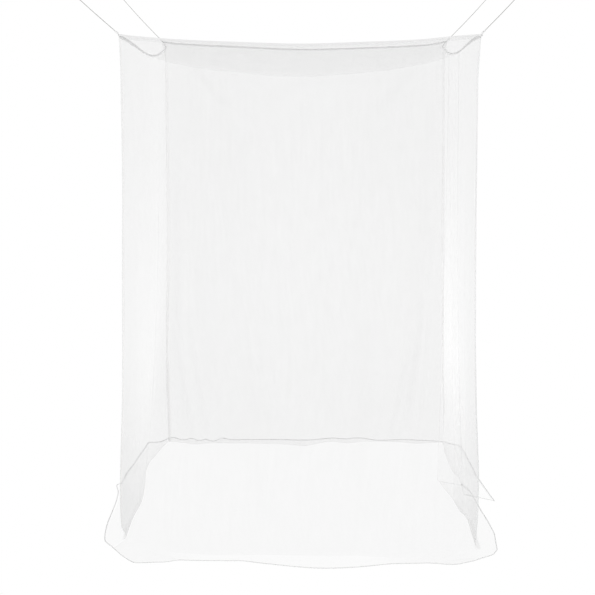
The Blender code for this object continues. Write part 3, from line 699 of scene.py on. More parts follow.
def roll_hem(points, finish, width):
    """The hem on the floor: the cloth's last stretch rolled back over itself."""
    outward = unit(points[:, -1] - points[:, -3])
    ring = np.stack(roll_ring(points[:, -1], outward, np.array([0.0, 0.0, 1.0]), width), 1)
    extra = np.full((finish.shape[0], ROLL_STEPS), ROLLED)
    return np.concatenate([points[:, :-1], ring], 1), np.concatenate([finish, extra], 1)


def roll_edge(points, finish, normals, end, side, width):
    """A door panel's free edge, rolled to its outer (1) or inner (-1) side."""
    column, beside = (0, 2) if end == 0 else (-1, -3)
    outward = unit(points[column] - points[beside])
    ring = roll_ring(points[column], outward, normals[column] * side, width)
    extra = np.full((ROLL_STEPS, finish.shape[1]), OVERLOCKED)
    if end == 0:
        ring = np.stack(ring[::-1], 0)
        return np.concatenate([ring, points[1:]], 0), np.concatenate([extra, finish], 0)
    ring = np.stack(ring, 0)
    return np.concatenate([points[:-1], ring], 0), np.concatenate([finish, extra], 0)


def turn_allowance(points, finish, normals, end, width):
    """The seam allowance at a corner: the cloth turned back inside the wall, overlocked."""
    column, beside = (0, 1) if end == 0 else (-1, -2)
    edge = points[column]
    inwards = unit(points[beside] - edge)
    inside = -normals[column] * ALLOWANCE_DEPTH
    strip = [edge + inwards * run * width + inside * depth for run, depth in ALLOWANCE_PLACES]
    extra = np.full((len(strip), finish.shape[1]), OVERLOCKED)
    if end == 0:
        return np.concatenate([np.stack(strip, 0), points], 0), np.concatenate([extra, finish], 0)
    strip = np.stack(strip[::-1], 0)
    return np.concatenate([points, strip], 0), np.concatenate([finish, extra], 0)


# ---------------------------------------------------------------- finishes


def rgb(hex_colour):
    """A written sRGB colour, such as E8E9E9, as the linear colour that a shader takes."""
    parts = [int(hex_colour[i : i + 2], 16) / 255 for i in (0, 2, 4)]
    return (*(c / 12.92 if c <= 0.04045 else ((c + 0.055) / 1.055) ** 2.4 for c in parts), 1.0)


def node(tree, kind, inputs=None, **settings):
    """Adds a node with its settings, its values and the links into it. A node that is given as
    a value stands for its first output."""
    made = tree.nodes.new(kind)
    for name, value in settings.items():
        setattr(made, name, value)
    for name, value in (inputs or {}).items():
        socket = made.inputs[name]
        value = value.outputs[0] if isinstance(value, bpy.types.Node) else value
        if isinstance(value, bpy.types.NodeSocket):
            tree.links.new(value, socket)
        else:
            socket.default_value = value
    return made


def new_finish(name):
    """An empty material and its tree."""
    made = bpy.data.materials.new(name)
    made.use_nodes = True
    made.node_tree.nodes.clear()
    return made, made.node_tree


def grooved(tree, height, colour, shade, roughness, depth):
    """Ends a finish that lies deeper where its relief is low, and is darker there as painted shade."""
    tones = {"Factor": height, 6: rgb(shade), 7: rgb(colour)}
    tone = node(tree, "ShaderNodeMix", tones, data_type="RGBA")
    relief = node(tree, "ShaderNodeBump", {"Strength": depth, "Distance": 0.0002, "Height": height})
    values = {"Base Color": tone.outputs[2], "Roughness": roughness, "IOR": 1.5, "Normal": relief}
    values["Specular IOR Level"] = 0.3
    shader = node(tree, "ShaderNodeBsdfPrincipled", values)
    node(tree, "ShaderNodeOutputMaterial", {"Surface": shader})


def netting(name, colour, open_alpha, thread_alpha, pitch, streaks=0.07):
    """Warp-knitted polyester netting. Soft six-sided holes between fine white threads let what
    is behind show through, and slight streaks run where the knitting is a little closer."""
    made, tree = new_finish(name)
    place = node(tree, "ShaderNodeUVMap", uv_map="cloth")
    # Real holes are 1.5 mm apart, which is too fine to show, so they are drawn coarser. Three
    # waves that cross at 60 degrees are highest in each hole and low on the threads round it.
    turn = 2 * math.pi / (pitch * math.sqrt(3) / 2)
    waves = []
    for degrees in (0, 60, 120):
        angle = math.radians(degrees)
        way = (turn * math.cos(angle), turn * math.sin(angle), 0.0)
        along = node(tree, "ShaderNodeVectorMath", {0: place, 1: way}, operation="DOT_PRODUCT")
        waves.append(node(tree, "ShaderNodeMath", {0: along.outputs["Value"]}, operation="COSINE"))
    two = node(tree, "ShaderNodeMath", {0: waves[0], 1: waves[1]}, operation="ADD")
    three = node(tree, "ShaderNodeMath", {0: two, 1: waves[2]}, operation="ADD")
    reach = {"From Min": -0.9, "From Max": 1.1, "To Min": thread_alpha, "To Max": open_alpha}
    reach["Value"] = three
    holes = node(tree, "ShaderNodeMapRange", reach, interpolation_type="SMOOTHSTEP")
    # Knitting runs down the cloth, so its uneven stretches are long and narrow.
    stretch = node(tree, "ShaderNodeMapping", {"Vector": place, "Scale": (42.0, 5.0, 1.0)})
    grain = {"Vector": stretch, "Scale": 1.0, "Detail": 3.0, "Roughness": 0.6}
    uneven = node(tree, "ShaderNodeTexNoise", grain)
    grain = {"Vector": place, "Scale": 11.0, "Detail": 2.0, "Roughness": 0.5}
    patches = node(tree, "ShaderNodeTexNoise", grain)
    both = node(tree, "ShaderNodeMath", {0: uneven, 1: patches}, operation="ADD")
    reach = {"From Min": 0.7, "From Max": 1.3, "To Min": 1 - streaks, "To Max": 1 + streaks}
    denser = node(tree, "ShaderNodeMapRange", {"Value": both, **reach})
    lie = node(tree, "ShaderNodeAttribute", attribute_name="closeness").outputs["Fac"]
    covered = node(tree, "ShaderNodeMath", {0: holes, 1: denser}, operation="MULTIPLY")
    alpha = node(tree, "ShaderNodeMath", {0: covered, 1: lie}, operation="MULTIPLY", use_clamp=True)
    values = {"Base Color": rgb(colour), "Roughness": 0.9, "IOR": 1.45, "Alpha": alpha}
    values["Specular IOR Level"] = 0.2
    shader = node(tree, "ShaderNodeBsdfPrincipled", values)
    node(tree, "ShaderNodeOutputMaterial", {"Surface": shader})
    return made


def twill_tape(name, colour, shade):
    """Woven twill tape of cotton and polyester: an opaque matt band with fine slanting ribs,
    with painted shade in the grooves between them."""
    made, tree = new_finish(name)
    place = node(tree, "ShaderNodeUVMap", uv_map="cloth")
    # Ribs are 0.5 mm apart on the real tape, and drawn 1.2 mm apart so that they show.
    slant = {"Vector": place, "Rotation": (0, 0, 0.9), "Scale": (1 / 0.0012,) * 3}
    ribs = node(tree, "ShaderNodeMapping", slant)
    lines = node(
        tree, "ShaderNodeTexWave", {"Vector": ribs, "Scale": 0.3183, "Distortion": 0.6, "Detail": 1.0},
        wave_type="BANDS", bands_direction="X",
    )
    grooved(tree, lines.outputs["Fac"], colour, shade, 0.85, 0.5)
    return made


def spun_cord(name, colour, shade, pitch):
    """Spun polyester cord or thread: matt, faintly fuzzy plies, darker as painted shade in their grain.
    """
    made, tree = new_finish(name)
    place = node(tree, "ShaderNodeTexCoord").outputs["Object"]
    # Fibres are far finer than the plies. Their grain is drawn at the given pitch.
    grain = {"Vector": place, "Scale": 1 / pitch, "Detail": 4.0, "Roughness": 0.7}
    fibres = node(tree, "ShaderNodeTexNoise", grain)
    grooved(tree, fibres.outputs["Fac"], colour, shade, 0.8, 0.4)
    return made


def finish_named(name):
    """One of the net's finishes, made the first time that a piece asks for it."""
    made = bpy.data.materials.get(name)
    if made:
        return made
    tones = bpy.context.scene.net_tones
    pitch = bpy.context.scene.net_sizes.mesh_pitch
    # Each finish's function and what it is given. Netting in several layers is drawn finer.
    kinds = {
        "polyester_netting": (netting, tones.net, tones.open_share, tones.thread_share, pitch),
        "rolled_netting": (netting, tones.hem, 0.70, 0.92, pitch / 2, 0.05),
        "overlocked_netting": (netting, tones.net, 0.16, 0.27, pitch / 2, 0.05),
        "bound_rim_netting": (netting, tones.rim, 0.85, 1.0, pitch / 2, 0.05),
        "twill_tape": (twill_tape, tones.tape, tones.tape_groove),
        "spun_cord": (spun_cord, tones.cord, tones.cord_groove, 0.0007),
        "sewing_thread": (spun_cord, tones.thread, tones.thread_groove, 0.0003),
    }
    make, *given = kinds[name]
    return make(name, *given)


# ---------------------------------------------------------------- pieces


def linked(name, data):
    """An object in the scene, with this data."""
    obj = bpy.data.objects.new(name, data)
    bpy.context.scene.collection.objects.link(obj)
    return obj


def add_piece(name, data, slot, replaces=True):
    """Adds a finished piece, which rides on the net in one of its slots. It replaces the
    frame's node of that name, except where it is trim on another piece."""
    obj = linked(name, data)
    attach(obj, "root")
    if replaces:
        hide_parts(slot)
    return obj


def laid_mesh(name, points, faces, places, finishes):
    """A mesh with its finishes, and with its places on the cloth as a UV map in metres."""
    mesh = bpy.data.meshes.new(name)
    mesh.from_pydata(points, [], faces)
    layer = mesh.uv_layers.new(name="cloth")
    layer.data.foreach_set("uv", np.asarray(places, np.float32).ravel())
    for finish in finishes:
        mesh.materials.append(finish_named(finish))
    mesh.shade_smooth()
    return mesh


def grid_mesh(name, points, finish, turned, finishes, closeness, left_out=()):
    """A mesh through a grid of points, with how close the netting lies as an attribute."""
    n, m = points.shape[:2]
    places = np.stack([lengths(points, 0), lengths(points, 1)], -1)
    index = np.arange(n * m).reshape(n, m)
    corners = np.stack([index[:-1, :-1], index[1:, :-1], index[1:, 1:], index[:-1, 1:]], -1)
    if turned:
        corners = corners[..., ::-1]
    keep = np.ones((n - 1, m - 1), bool)
    for cell in left_out:
        keep[cell] = False
    faces = corners[keep]
    places = places.reshape(-1, 2)[faces.ravel()]
    mesh = laid_mesh(name, points.reshape(-1, 3).tolist(), faces.tolist(), places, finishes)
    lie = mesh.attributes.new("closeness", "FLOAT", "POINT")
    lie.data.foreach_set("value", closeness.astype(np.float32).ravel())
    mesh.polygons.foreach_set("material_index", finish[keep].astype(np.int32))
    mesh.set_sharp_from_angle(angle=math.radians(50))
    mesh.update()
    return mesh


def loft_mesh(name, rings, material, closed=False):
    """A solid through rows of equal rings, with a UV map in metres along and around it."""
    rings = np.asarray(rings, float)
    n, m = rings.shape[:2]
    run = np.concatenate([[0], np.cumsum(np.linalg.norm(np.diff(rings.mean(1), axis=0), axis=1))])
    loop = np.concatenate([rings[0], rings[0][:1]])
    around = np.concatenate([[0], np.cumsum(np.linalg.norm(np.diff(loop, axis=0), axis=1))])
    faces, places = [], []
    for i in range(n if closed else n - 1):
        j = (i + 1) % n
        ends = (run[i], run[j] if j else run[i] + np.linalg.norm(rings[0] - rings[-1], axis=1)[0])
        for k in range(m):
            beside = (k + 1) % m
            faces.append((i * m + k, i * m + beside, j * m + beside, j * m + k))
            places += [(ends[0], around[k]), (ends[0], around[k + 1])]
            places += [(ends[1], around[k + 1]), (ends[1], around[k])]
    if not closed:
        for i, way in ((0, -1), (n - 1, 1)):
            faces.append(tuple(i * m + k for k in range(m))[::way])
            places += [(run[i], around[k]) for k in range(m)][::way]
    volume = 0.0
    flat = rings.reshape(-1, 3)
    for face in faces:
        a = flat[face[0]]
        for b, c in zip(face[1:-1], face[2:]):
            volume += float(np.dot(a, np.cross(flat[b], flat[c])))
    if volume < 0:
        # Each face is turned round with its places, so that it looks outwards.
        at = 0
        for index, face in enumerate(faces):
            size = len(face)
            faces[index] = face[::-1]
            places[at : at + size] = places[at : at + size][::-1]
            at += size
    return laid_mesh(name, flat.tolist(), faces, places, (material,))


def path_mesh(name, lines):
    """Lines of points as a mesh of edges, for a node tree to follow. Each line is its points
    and whether it closes."""
    verts, edges = [], []
    for points, closes in lines:
        first = len(verts)
        verts += [tuple(map(float, point)) for point in points]
        edges += [(i, i + 1) for i in range(first, len(verts) - 1)]
        if closes:
            edges.append((len(verts) - 1, first))
    mesh = bpy.data.meshes.new(name)
    mesh.from_pydata(verts, edges, [])
    return mesh


def new_tree(name, numbers):
    """A node tree for geometry, with a named input for each of its sizes and its finish."""
    tree = bpy.data.node_groups.new(name, "GeometryNodeTree")
    add = tree.interface.new_socket
    add("Geometry", in_out="INPUT", socket_type="NodeSocketGeometry")
    for label, default in numbers.items():
        add(label, in_out="INPUT", socket_type="NodeSocketFloat").default_value = default
    add("Finish", in_out="INPUT", socket_type="NodeSocketMaterial")
    add("Geometry", in_out="OUTPUT", socket_type="NodeSocketGeometry")
    return tree, node(tree, "NodeGroupInput").outputs


def end_tree(tree, geometry, finish):
    """The end of a tree: real geometry, smooth, with its finish."""
    real = node(tree, "GeometryNodeRealizeInstances", {"Geometry": geometry})
    soft = node(tree, "GeometryNodeSetShadeSmooth", {"Geometry": real})
    done = node(tree, "GeometryNodeSetMaterial", {"Geometry": soft, "Material": finish})
    node(tree, "NodeGroupOutput", {"Geometry": done})
    return tree


def twisted_cord_tree():
    """Plies that wind round a path: three make a cord, and one an overlock thread."""
    found = bpy.data.node_groups.get("twisted_cord")
    if found:
        return found
    sizes = {"Step": 0.0015, "Pitch": 0.01, "Ply radius": 0.0008, "Ply offset": 0.0008, "Plies": 3}
    tree, given = new_tree("twisted_cord", sizes)
    path = node(tree, "GeometryNodeMeshToCurve", {"Mesh": given["Geometry"]})
    steps = {"Curve": path, "Length": given["Step"]}
    even = node(tree, "GeometryNodeResampleCurve", steps, mode="LENGTH")
    run = node(tree, "GeometryNodeSplineParameter").outputs["Length"]
    turns = node(tree, "ShaderNodeMath", {0: run, 1: given["Pitch"]}, operation="DIVIDE")
    angle = node(tree, "ShaderNodeMath", {0: turns, 1: 2 * math.pi}, operation="MULTIPLY")
    wound = node(tree, "GeometryNodeSetCurveTilt", {"Curve": even, "Tilt": angle})
    outline = {"Resolution": 6, "Radius": given["Ply radius"]}
    ply = node(tree, "GeometryNodeCurvePrimitiveCircle", outline)
    # Plies stand at even angles round the middle, as points on a circle.
    places = {"Resolution": given["Plies"], "Radius": given["Ply offset"]}
    ring = node(tree, "GeometryNodeCurvePrimitiveCircle", places)
    spots = node(tree, "GeometryNodeInstanceOnPoints", {"Points": ring, "Instance": ply})
    profile = node(tree, "GeometryNodeRealizeInstances", {"Geometry": spots})
    sweep = {"Curve": wound, "Profile Curve": profile, "Fill Caps": True}
    tube = node(tree, "GeometryNodeCurveToMesh", sweep)
    return end_tree(tree, tube, given["Finish"])


def stitch_row_tree():
    """Short rounded stitches, laid end to end along a path with gaps between them."""
    found = bpy.data.node_groups.get("stitch_row")
    if found:
        return found
    sizes = {"Spacing": 0.006, "Stitch length": 0.004, "Thread radius": 0.0004}
    tree, given = new_tree("stitch_row", sizes)
    path = node(tree, "GeometryNodeMeshToCurve", {"Mesh": given["Geometry"]})
    steps = {"Curve": path, "Length": given["Spacing"]}
    spots = node(tree, "GeometryNodeCurveToPoints", steps, mode="LENGTH")
    bead = node(tree, "GeometryNodeMeshUVSphere", {"Segments": 6, "Rings": 5, "Radius": 1.0})
    half = node(tree, "ShaderNodeMath", {0: given["Stitch length"], 1: 0.5}, operation="MULTIPLY")
    radius = given["Thread radius"]
    size = node(tree, "ShaderNodeCombineXYZ", {"X": radius, "Y": radius, "Z": half})
    laid = {"Points": spots, "Instance": bead, "Rotation": spots.outputs["Rotation"], "Scale": size}
    row = node(tree, "GeometryNodeInstanceOnPoints", laid)
    return end_tree(tree, row, given["Finish"])


def grown(name, tree, lines, material, **numbers):
    """The plain mesh that a node tree grows along lines of points."""
    holder = linked(name + "_path", path_mesh(name + "_path", lines))
    modifier = holder.modifiers.new("grow", "NODES")
    modifier.node_group = tree
    given = dict(numbers, Finish=finish_named(material))
    for item in tree.interface.items_tree:
        label = item.name.replace(" ", "_")
        if item.in_out == "INPUT" and label in given:
            modifier[item.identifier] = given[label]
    holder.update_tag()
    bpy.context.view_layer.update()
    graph = bpy.context.evaluated_depsgraph_get()
    mesh = bpy.data.meshes.new_from_object(holder.evaluated_get(graph))
    bpy.data.objects.remove(holder, do_unlink=True)
    if not mesh.polygons:
        raise RuntimeError(name + " grew no faces")
    mesh.name = name
    return mesh


def twisted(
    name, lines, material="spun_cord", step=0.0015, pitch=0.010, ply=PLY_RADIUS, offset=PLY_OFFSET
):
    """Twisted three-ply cord along lines of points."""
    return grown(
        name, twisted_cord_tree(), lines, material, Step=step, Pitch=pitch, Ply_radius=ply,
        Ply_offset=offset, Plies=3.0,
    )


def corner_sites():
    """(name, roof corner, unit direction of its cord) of the four corners."""
    for name, (reach_x, reach_y, _) in CORNERS.items():
        x = -1 if name.endswith("left") else 1
        y = -1 if name.startswith("front") else 1
        corner = Vector((x * NET_WIDTH / 2, y * NET_LENGTH / 2, -HOOK_RISE))
        yield name, corner, Vector((x * reach_x, y * reach_y, HOOK_RISE)).normalized()


def cross_direction(direction):
    """The level direction at right angles to a cord."""
    return Vector((-direction.y, direction.x, 0)).normalized()


def eye_outline(tip, knot, sideways, half_width, corner):
    """The middle line of an eye: a flat or round end at tip, and sides that close on the knot."""
    towards = (knot - tip).normalized()
    points = []
    for side, turns in ((-1, range(-90, 1, 10)), (1, range(0, 91, 10))):
        centre = tip + towards * corner + sideways * side * (half_width - corner)
        for degrees in turns:
            turn = math.radians(degrees)
            point = centre + corner * (sideways * math.sin(turn) - towards * math.cos(turn))
            if not points or (point - points[-1]).length > POINT_SPACING:
                points.append(point)
    legs = []
    for start, side in ((points[-1], 1), (points[0], -1)):
        end = knot + sideways * side * CORD_DIAMETER * LEG_SPREAD
        legs.append([start.lerp(end, (step + 1) / LEG_STEPS) for step in range(LEG_STEPS)])
    return points + legs[0] + legs[1][::-1]


def knot_wraps(knot, towards, sideways, slimness):
    """The middle line of the turns of cord that bind an eye's two legs together."""
    lift = towards.cross(sideways)
    half = KNOT_RADIUS * KNOT_STRETCH - WRAP_INSET
    ring = (KNOT_RADIUS - WRAP_INSET) * slimness
    points = []
    for i in range(WRAP_STEPS + 1):
        share = i / WRAP_STEPS
        angle = 2 * math.pi * WRAP_TURNS * share
        out = ring * (1 - 0.25 * abs(2 * share - 1) ** 6)
        ray = sideways * math.cos(angle) + lift * math.sin(angle)
        points.append(knot + towards * half * (2 * share - 1) + ray * out)
    return points


def tied_eye(name, outline, knot, towards, sideways, material="spun_cord", slimness=1.0):
    """An eye of cord and the wraps that close it, as one mesh."""
    ply, offset = PLY_RADIUS * slimness, PLY_OFFSET * slimness
    mesh = twisted(name, ((outline, True),), material, ply=ply, offset=offset)
    turns = knot_wraps(knot, towards, sideways, slimness)
    wraps = twisted(
        name + "_wraps", ((turns, False),), material, WRAP_STEP, WRAP_PITCH, ply * WRAP_SLIMNESS,
        offset * WRAP_SLIMNESS,
    )
    both = [linked(part.name, part) for part in (mesh, wraps)]
    with bpy.context.temp_override(
        active_object=both[0], selected_editable_objects=both, selected_objects=both
    ):
        bpy.ops.object.join()
    joined = both[0].data
    bpy.data.objects.remove(both[0], do_unlink=True)
    return joined


# ---------------------------------------------------------------- sizes and colours


def length_setting(name, description, default, least=0.001):
    """A size in metres."""
    return bpy.props.FloatProperty(
        name=name, description=description, default=default, min=least, unit="LENGTH"
    )


def colour_setting(name, description, default):
    """A colour, as sRGB hex."""
    return bpy.props.StringProperty(name=name, description=description, default=default)


def cover_setting(name, description, default):
    """A share of what is behind the netting, between 0 and 1."""
    return bpy.props.FloatProperty(
        name=name, description=description, default=default, min=0.0, max=1.0, subtype="FACTOR"
    )


def power_setting(name, description, default):
    """The power of a light, in watts."""
    return bpy.props.FloatProperty(
        name=name, description=description, default=default, min=0.0, unit="POWER"
    )


class NetSizes(bpy.types.PropertyGroup):
    """Sizes of the net's finer parts."""

    waves: length_setting("Waves", "Height of the slight unevenness all over the cloth", 0.0010, 0.0)
    roll: length_setting("Rolled hem", "Thickness of the rolled hem", 0.0034)
    side_roll: length_setting(
        "Rolled side hems", "Thickness of the rolled hem at the sides and the back", 0.0042
    )
    edge_roll: length_setting(
        "Rolled door edge", "Thickness of the roll along a door panel's free edge", 0.0016
    )
    allowance: length_setting(
        "Seam allowance", "Width of the cloth turned back inside at a corner seam", 0.008, 0.002
    )
    back_allowance: length_setting(
        "Back seam allowance", "Width of the cloth turned back inside at a back corner's seam",
        0.003, 0.002,
    )
    mesh_pitch: length_setting("Hole spacing", "Distance between the netting's holes as drawn", 0.006)
    stitch: length_setting("Stitch length", "Length of a sewing stitch", 0.004)


class NetTones(bpy.types.PropertyGroup):
    """Colours of the net's cloth, tape and cords, and how open its netting is."""

    net: colour_setting("Netting", "Colour of the netting's thread", "D2D2D2")
    hem: colour_setting("Rolled netting", "Colour of netting in several layers", "E4E4E4")
    # The rim's grey, darker than the tape, is painted shade on the back and side rims seen from inside.
    rim: colour_setting(
        "Bound rim", "Colour of the roof's turned rim, packed tight by its seam", "D6D6D6"
    )
    tape: colour_setting("Tape", "Colour of the twill tape", "F4F4F4")
    # The darker groove colour is painted shade between the ribs.
    tape_groove: colour_setting("Tape grooves", "Colour between the tape's ribs", "EAEAEA")
    cord: colour_setting("Cord", "Colour of the cord's plies", "C4C4C2")
    cord_groove: colour_setting("Cord grooves", "Colour of a cord's shaded fibres", "AEAEAC")
    thread: colour_setting("Thread", "Colour of the sewing thread", "ECECEC")
    thread_groove: colour_setting("Thread grooves", "Colour of a thread's shaded fibres", "E0E0E0")
    open_share: cover_setting(
        "Cover in the holes", "How much a hole hides of what is behind it, as drawn", 0.14
    )
    thread_share: cover_setting(
        "Cover between the holes", "How much the threads round a hole hide, as drawn", 0.208
    )


class StudioLight(bpy.types.PropertyGroup):
    """The studio round the net."""

    surround: bpy.props.FloatProperty(
        name="Surround", description="Brightness of the white surround", default=1.0, min=0.0
    )
    sides: power_setting("Side lights", "Power of the soft light at each side", 12.0)
    top: power_setting("Top light", "Power of the soft light overhead", 10.0)
    inside_left: power_setting(
        "Inner left light", "Power of the soft light inside the net towards its left side", 3.5
    )
    inside_right: power_setting(
        "Inner right light", "Power of the soft light inside the net towards its right side", 5.2
    )


# ---------------------------------------------------------------- operators


def add_soft_light(name, place, aim, size, spread, power):
    """Adds a rectangular light that the camera doesn't see."""
    lamp = bpy.data.lights.new(name, "AREA")
    lamp.spread = math.radians(spread)
    lamp.shape = "RECTANGLE"
    lamp.size, lamp.size_y = size
    lamp.energy = power
    obj = linked(name, lamp)
    obj.location = place
    obj.rotation_euler = (Vector(aim) - Vector(place)).to_track_quat("-Z", "Y").to_euler()
    obj.visible_camera = False


class NET_OT_stage(bpy.types.Operator):
    """Sets up the camera, the white surround, the floor and the soft lights"""

    bl_idname = "box_net.stage"
    bl_label = "Stage and camera"

    def execute(self, context):
        scene, studio = context.scene, context.scene.net_studio
        scene.view_settings.view_transform = "Standard"
        scene.cycles.transparent_max_bounces = 48
        lens = bpy.data.cameras.new("camera")
        lens.lens, lens.sensor_width = CAMERA_LENS, 36.0
        lens.clip_end = 100
        camera = linked("camera", lens)
        camera.location = CAMERA_PLACE
        camera.rotation_euler = [math.radians(degrees) for degrees in CAMERA_TURN]
        scene.camera = camera
        surround = bpy.data.worlds.new("white_surround")
        surround.use_nodes = True
        light = surround.node_tree.nodes["Background"]
        light.inputs["Color"].default_value = (1, 1, 1, 1)
        light.inputs["Strength"].default_value = studio.surround
        scene.world = surround
        ring = []
        for i in range(FLOOR_SIDES):
            angle = math.pi * i / (FLOOR_SIDES / 2)
            x, y = FLOOR_REACH * math.cos(angle), FLOOR_REACH * math.sin(angle)
            ring.append((x, y, FLOOR - FLOOR_CLEARANCE))
        mesh = bpy.data.meshes.new("studio_floor")
        mesh.from_pydata(ring, [], [tuple(range(FLOOR_SIDES))])
        made, tree = new_finish("lit_white_floor")
        # A translucent white table lit from below, so that nothing casts a shadow on it.
        values = {"Base Color": (0, 0, 0, 1), "Roughness": 1.0, "Specular IOR Level": 0.0}
        values |= {"Emission Color": (1, 1, 1, 1), "Emission Strength": studio.surround}
        glow = node(tree, "ShaderNodeBsdfPrincipled", values)
        node(tree, "ShaderNodeOutputMaterial", {"Surface": glow})
        mesh.materials.append(made)
        linked("studio_floor", mesh)
        for name, (*light, setting) in LIGHTS.items():
            add_soft_light(name, *light, getattr(studio, setting))
        return {"FINISHED"}


class NET_OT_corner_ties(bpy.types.Operator):
    """Ties a cord to each corner, with its knots and the eye for the ceiling hook"""

    bl_idname = "box_net.corner_ties"
    bl_label = "Cords and eyes"

    def execute(self, context):
        for name, corner, direction in corner_sites():
            across = cross_direction(direction)
            upright = across.cross(direction)
            inside_tab = TAB_STAND + TAB_LENGTH - TAPE_THICKNESS
            low_tip = corner + direction * (inside_tab - SEAM_GAP - CORD_DIAMETER / 2)
            low_knot = low_tip + direction * HITCH_LENGTH
            outline = eye_outline(low_tip, low_knot, across, HITCH_HALF_WIDTH, HITCH_CORNER)
            made = (outline, low_knot, direction, across, "sewing_thread", HITCH_SLIMNESS)
            mesh = tied_eye("hitch_" + name, *made)
            hitch = add_piece("hitch_of_" + name, mesh, "hitch_" + name)
            high_tip = corner + direction * (HOOK_RISE / direction.z + CORD_DIAMETER / 2)
            high_knot = high_tip - direction * EYE_LENGTH
            outline = eye_outline(high_tip, high_knot, upright, EYE_HALF_WIDTH, EYE_HALF_WIDTH)
            mesh = tied_eye("eye_" + name, outline, high_knot, direction, upright)
            eye = add_piece("eye_of_" + name, mesh, "eye_" + name)
            clear = direction * (KNOT_RADIUS * KNOT_STRETCH + SEAM_GAP)
            start, end = low_knot + clear, high_knot - clear
            points = []
            for i in range(CORD_STEPS + 1):
                point = start.lerp(end, i / CORD_STEPS)
                point.z -= CORD_SAG * math.sin(math.pi * i / CORD_STEPS)
                points.append(point)
            mesh = twisted("cord_" + name, ((points, False),))
            cord = add_piece("cord_of_" + name, mesh, "cord_" + name)
        return {"FINISHED"}


class NET_OT_roof(bpy.types.Operator):
    """Makes the sagging roof panel, with its rim turned down inside the walls"""

    bl_idname = "box_net.roof"
    bl_label = "Roof panel"

    def execute(self, context):
        across, along = (np.linspace(0, 1, count) for count in ROOF_GRID)
        points = roof_surface(across, along)
        u, v = lengths(points, 0), lengths(points, 1)
        rise = crease_depth(ROOF_CREASES, u, v)
        rise += unevenness(u, v, ROOF_SEED, context.scene.net_sizes.waves, False)
        edge = between(0, 0.08, across)[:, None] * between(0, 0.06, along)[None]
        points[..., 2] += rise * edge
        finish = np.zeros((len(across) - 1, len(along) - 1), int)
        # The rim turns down under the tape, a side's deeper towards its ends. The four cells
        # where two rims would cross are left out.
        deeper = SIDE_RIM_DEEPER * (1 - ease(0.12, 0.32, along) * ease(0.04, 0.14, 1 - along))
        for axis in (0, 1):
            for first in (True, False):
                at_front = axis == 1 and first
                # The back and side rims take the darker rim finish, as painted shade; the front rim
                # keeps the plain netting.
                depth, packed = (FRONT_RIM_DEPTH, 0) if at_front else (RIM_DEPTH, 1)
                rim = np.take(points, [0 if first else -1], axis=axis) - (0, 0, depth)
                if axis == 0:
                    rim[..., 2] -= deeper
                extra = np.full((1, finish.shape[1]) if axis == 0 else (finish.shape[0], 1), packed)
                pair = (rim, points) if first else (points, rim)
                marks = (extra, finish) if first else (finish, extra)
                points = np.concatenate(pair, axis)
                finish = np.concatenate(marks, axis)
        n, m = finish.shape
        corners = [(i, j) for i in (0, n - 1) for j in (0, m - 1)]
        # Its fullness is eased in along the seam, and hangs drawn out at the lowest part.
        lowest = points[..., 2].min(1, keepdims=True)
        above = (points[..., 2] - lowest) / (points[:, 1:2, 2] - lowest + 0.002)
        closeness = np.minimum(0.40 + 1.3 * above, 0.58 + 0.24 * above).clip(*ROOF_CLOSENESS)
        inwards = np.minimum(u, u[-1:] - u)
        midway = between(0.2, 0.5, along)
        closeness[1:-1, 1:-1] *= 1 - 0.6 * midway * fall(0.0, 0.09, inwards)
        # A side's rim is packed tightly at its back end, and less so towards its front.
        place = np.arange(points.shape[1])
        packing = 0.9 * ease(158, 170, place) + 0.35 * fall(22, 58, place)
        closeness[[0, 1, -2, -1]] = ROOF_RIM_CLOSENESS["side"] + packing
        closeness[:, [-2, -1]] = ROOF_RIM_CLOSENESS["back"]
        closeness[:, [0, 1]] = ROOF_RIM_CLOSENESS["front"]
        finishes = ("polyester_netting", "bound_rim_netting")
        mesh = grid_mesh("roof_panel", points, finish, False, finishes, closeness, left_out=corners)
        add_piece("roof_panel", mesh, "roof")
        return {"FINISHED"}


def add_wall(wall, sizes):
    """One wall's panel, as cloth of its own with its hem and turned edges."""
    points, finish, turned = wall_cloth(wall, sizes)
    part = CLOTH_PIECES[wall]
    closeness = wall_closeness(wall, points)
    mesh = grid_mesh(part + "_panel", points, finish, turned, WALL_FINISHES, closeness)
    add_piece(part + "_panel", mesh, part)


class NET_OT_walls(bpy.types.Operator):
    """Makes the front, back and left walls, which lie out along the floor to their hems"""

    bl_idname = "box_net.walls"
    bl_label = "Walls"

    def execute(self, context):
        for wall in ("front", "back", "left"):
            add_wall(wall, context.scene.net_sizes)
        return {"FINISHED"}


class NET_OT_door(bpy.types.Operator):
    """Makes the two overlapping panels of the right side, which part as a doorway"""

    bl_idname = "box_net.door"
    bl_label = "Door panels"

    def execute(self, context):
        for wall in ("right_front", "right_rear"):
            add_wall(wall, context.scene.net_sizes)
        return {"FINISHED"}


def binding_face(edge, share):
    """The tape's middle line on one roof edge: its points, its outer side and its inner gap."""
    top = edge_line(edge, share) + np.array([0, 0, TAPE_RISE - TAPE_WIDTH / 2])
    outward = np.array([*WALLS["right_rear" if edge == "right" else edge][1], 0.0])
    return top, outward, CLOTH / 2 + SEAM_GAP + (LAP_GAP if edge == "right" else 0.0)


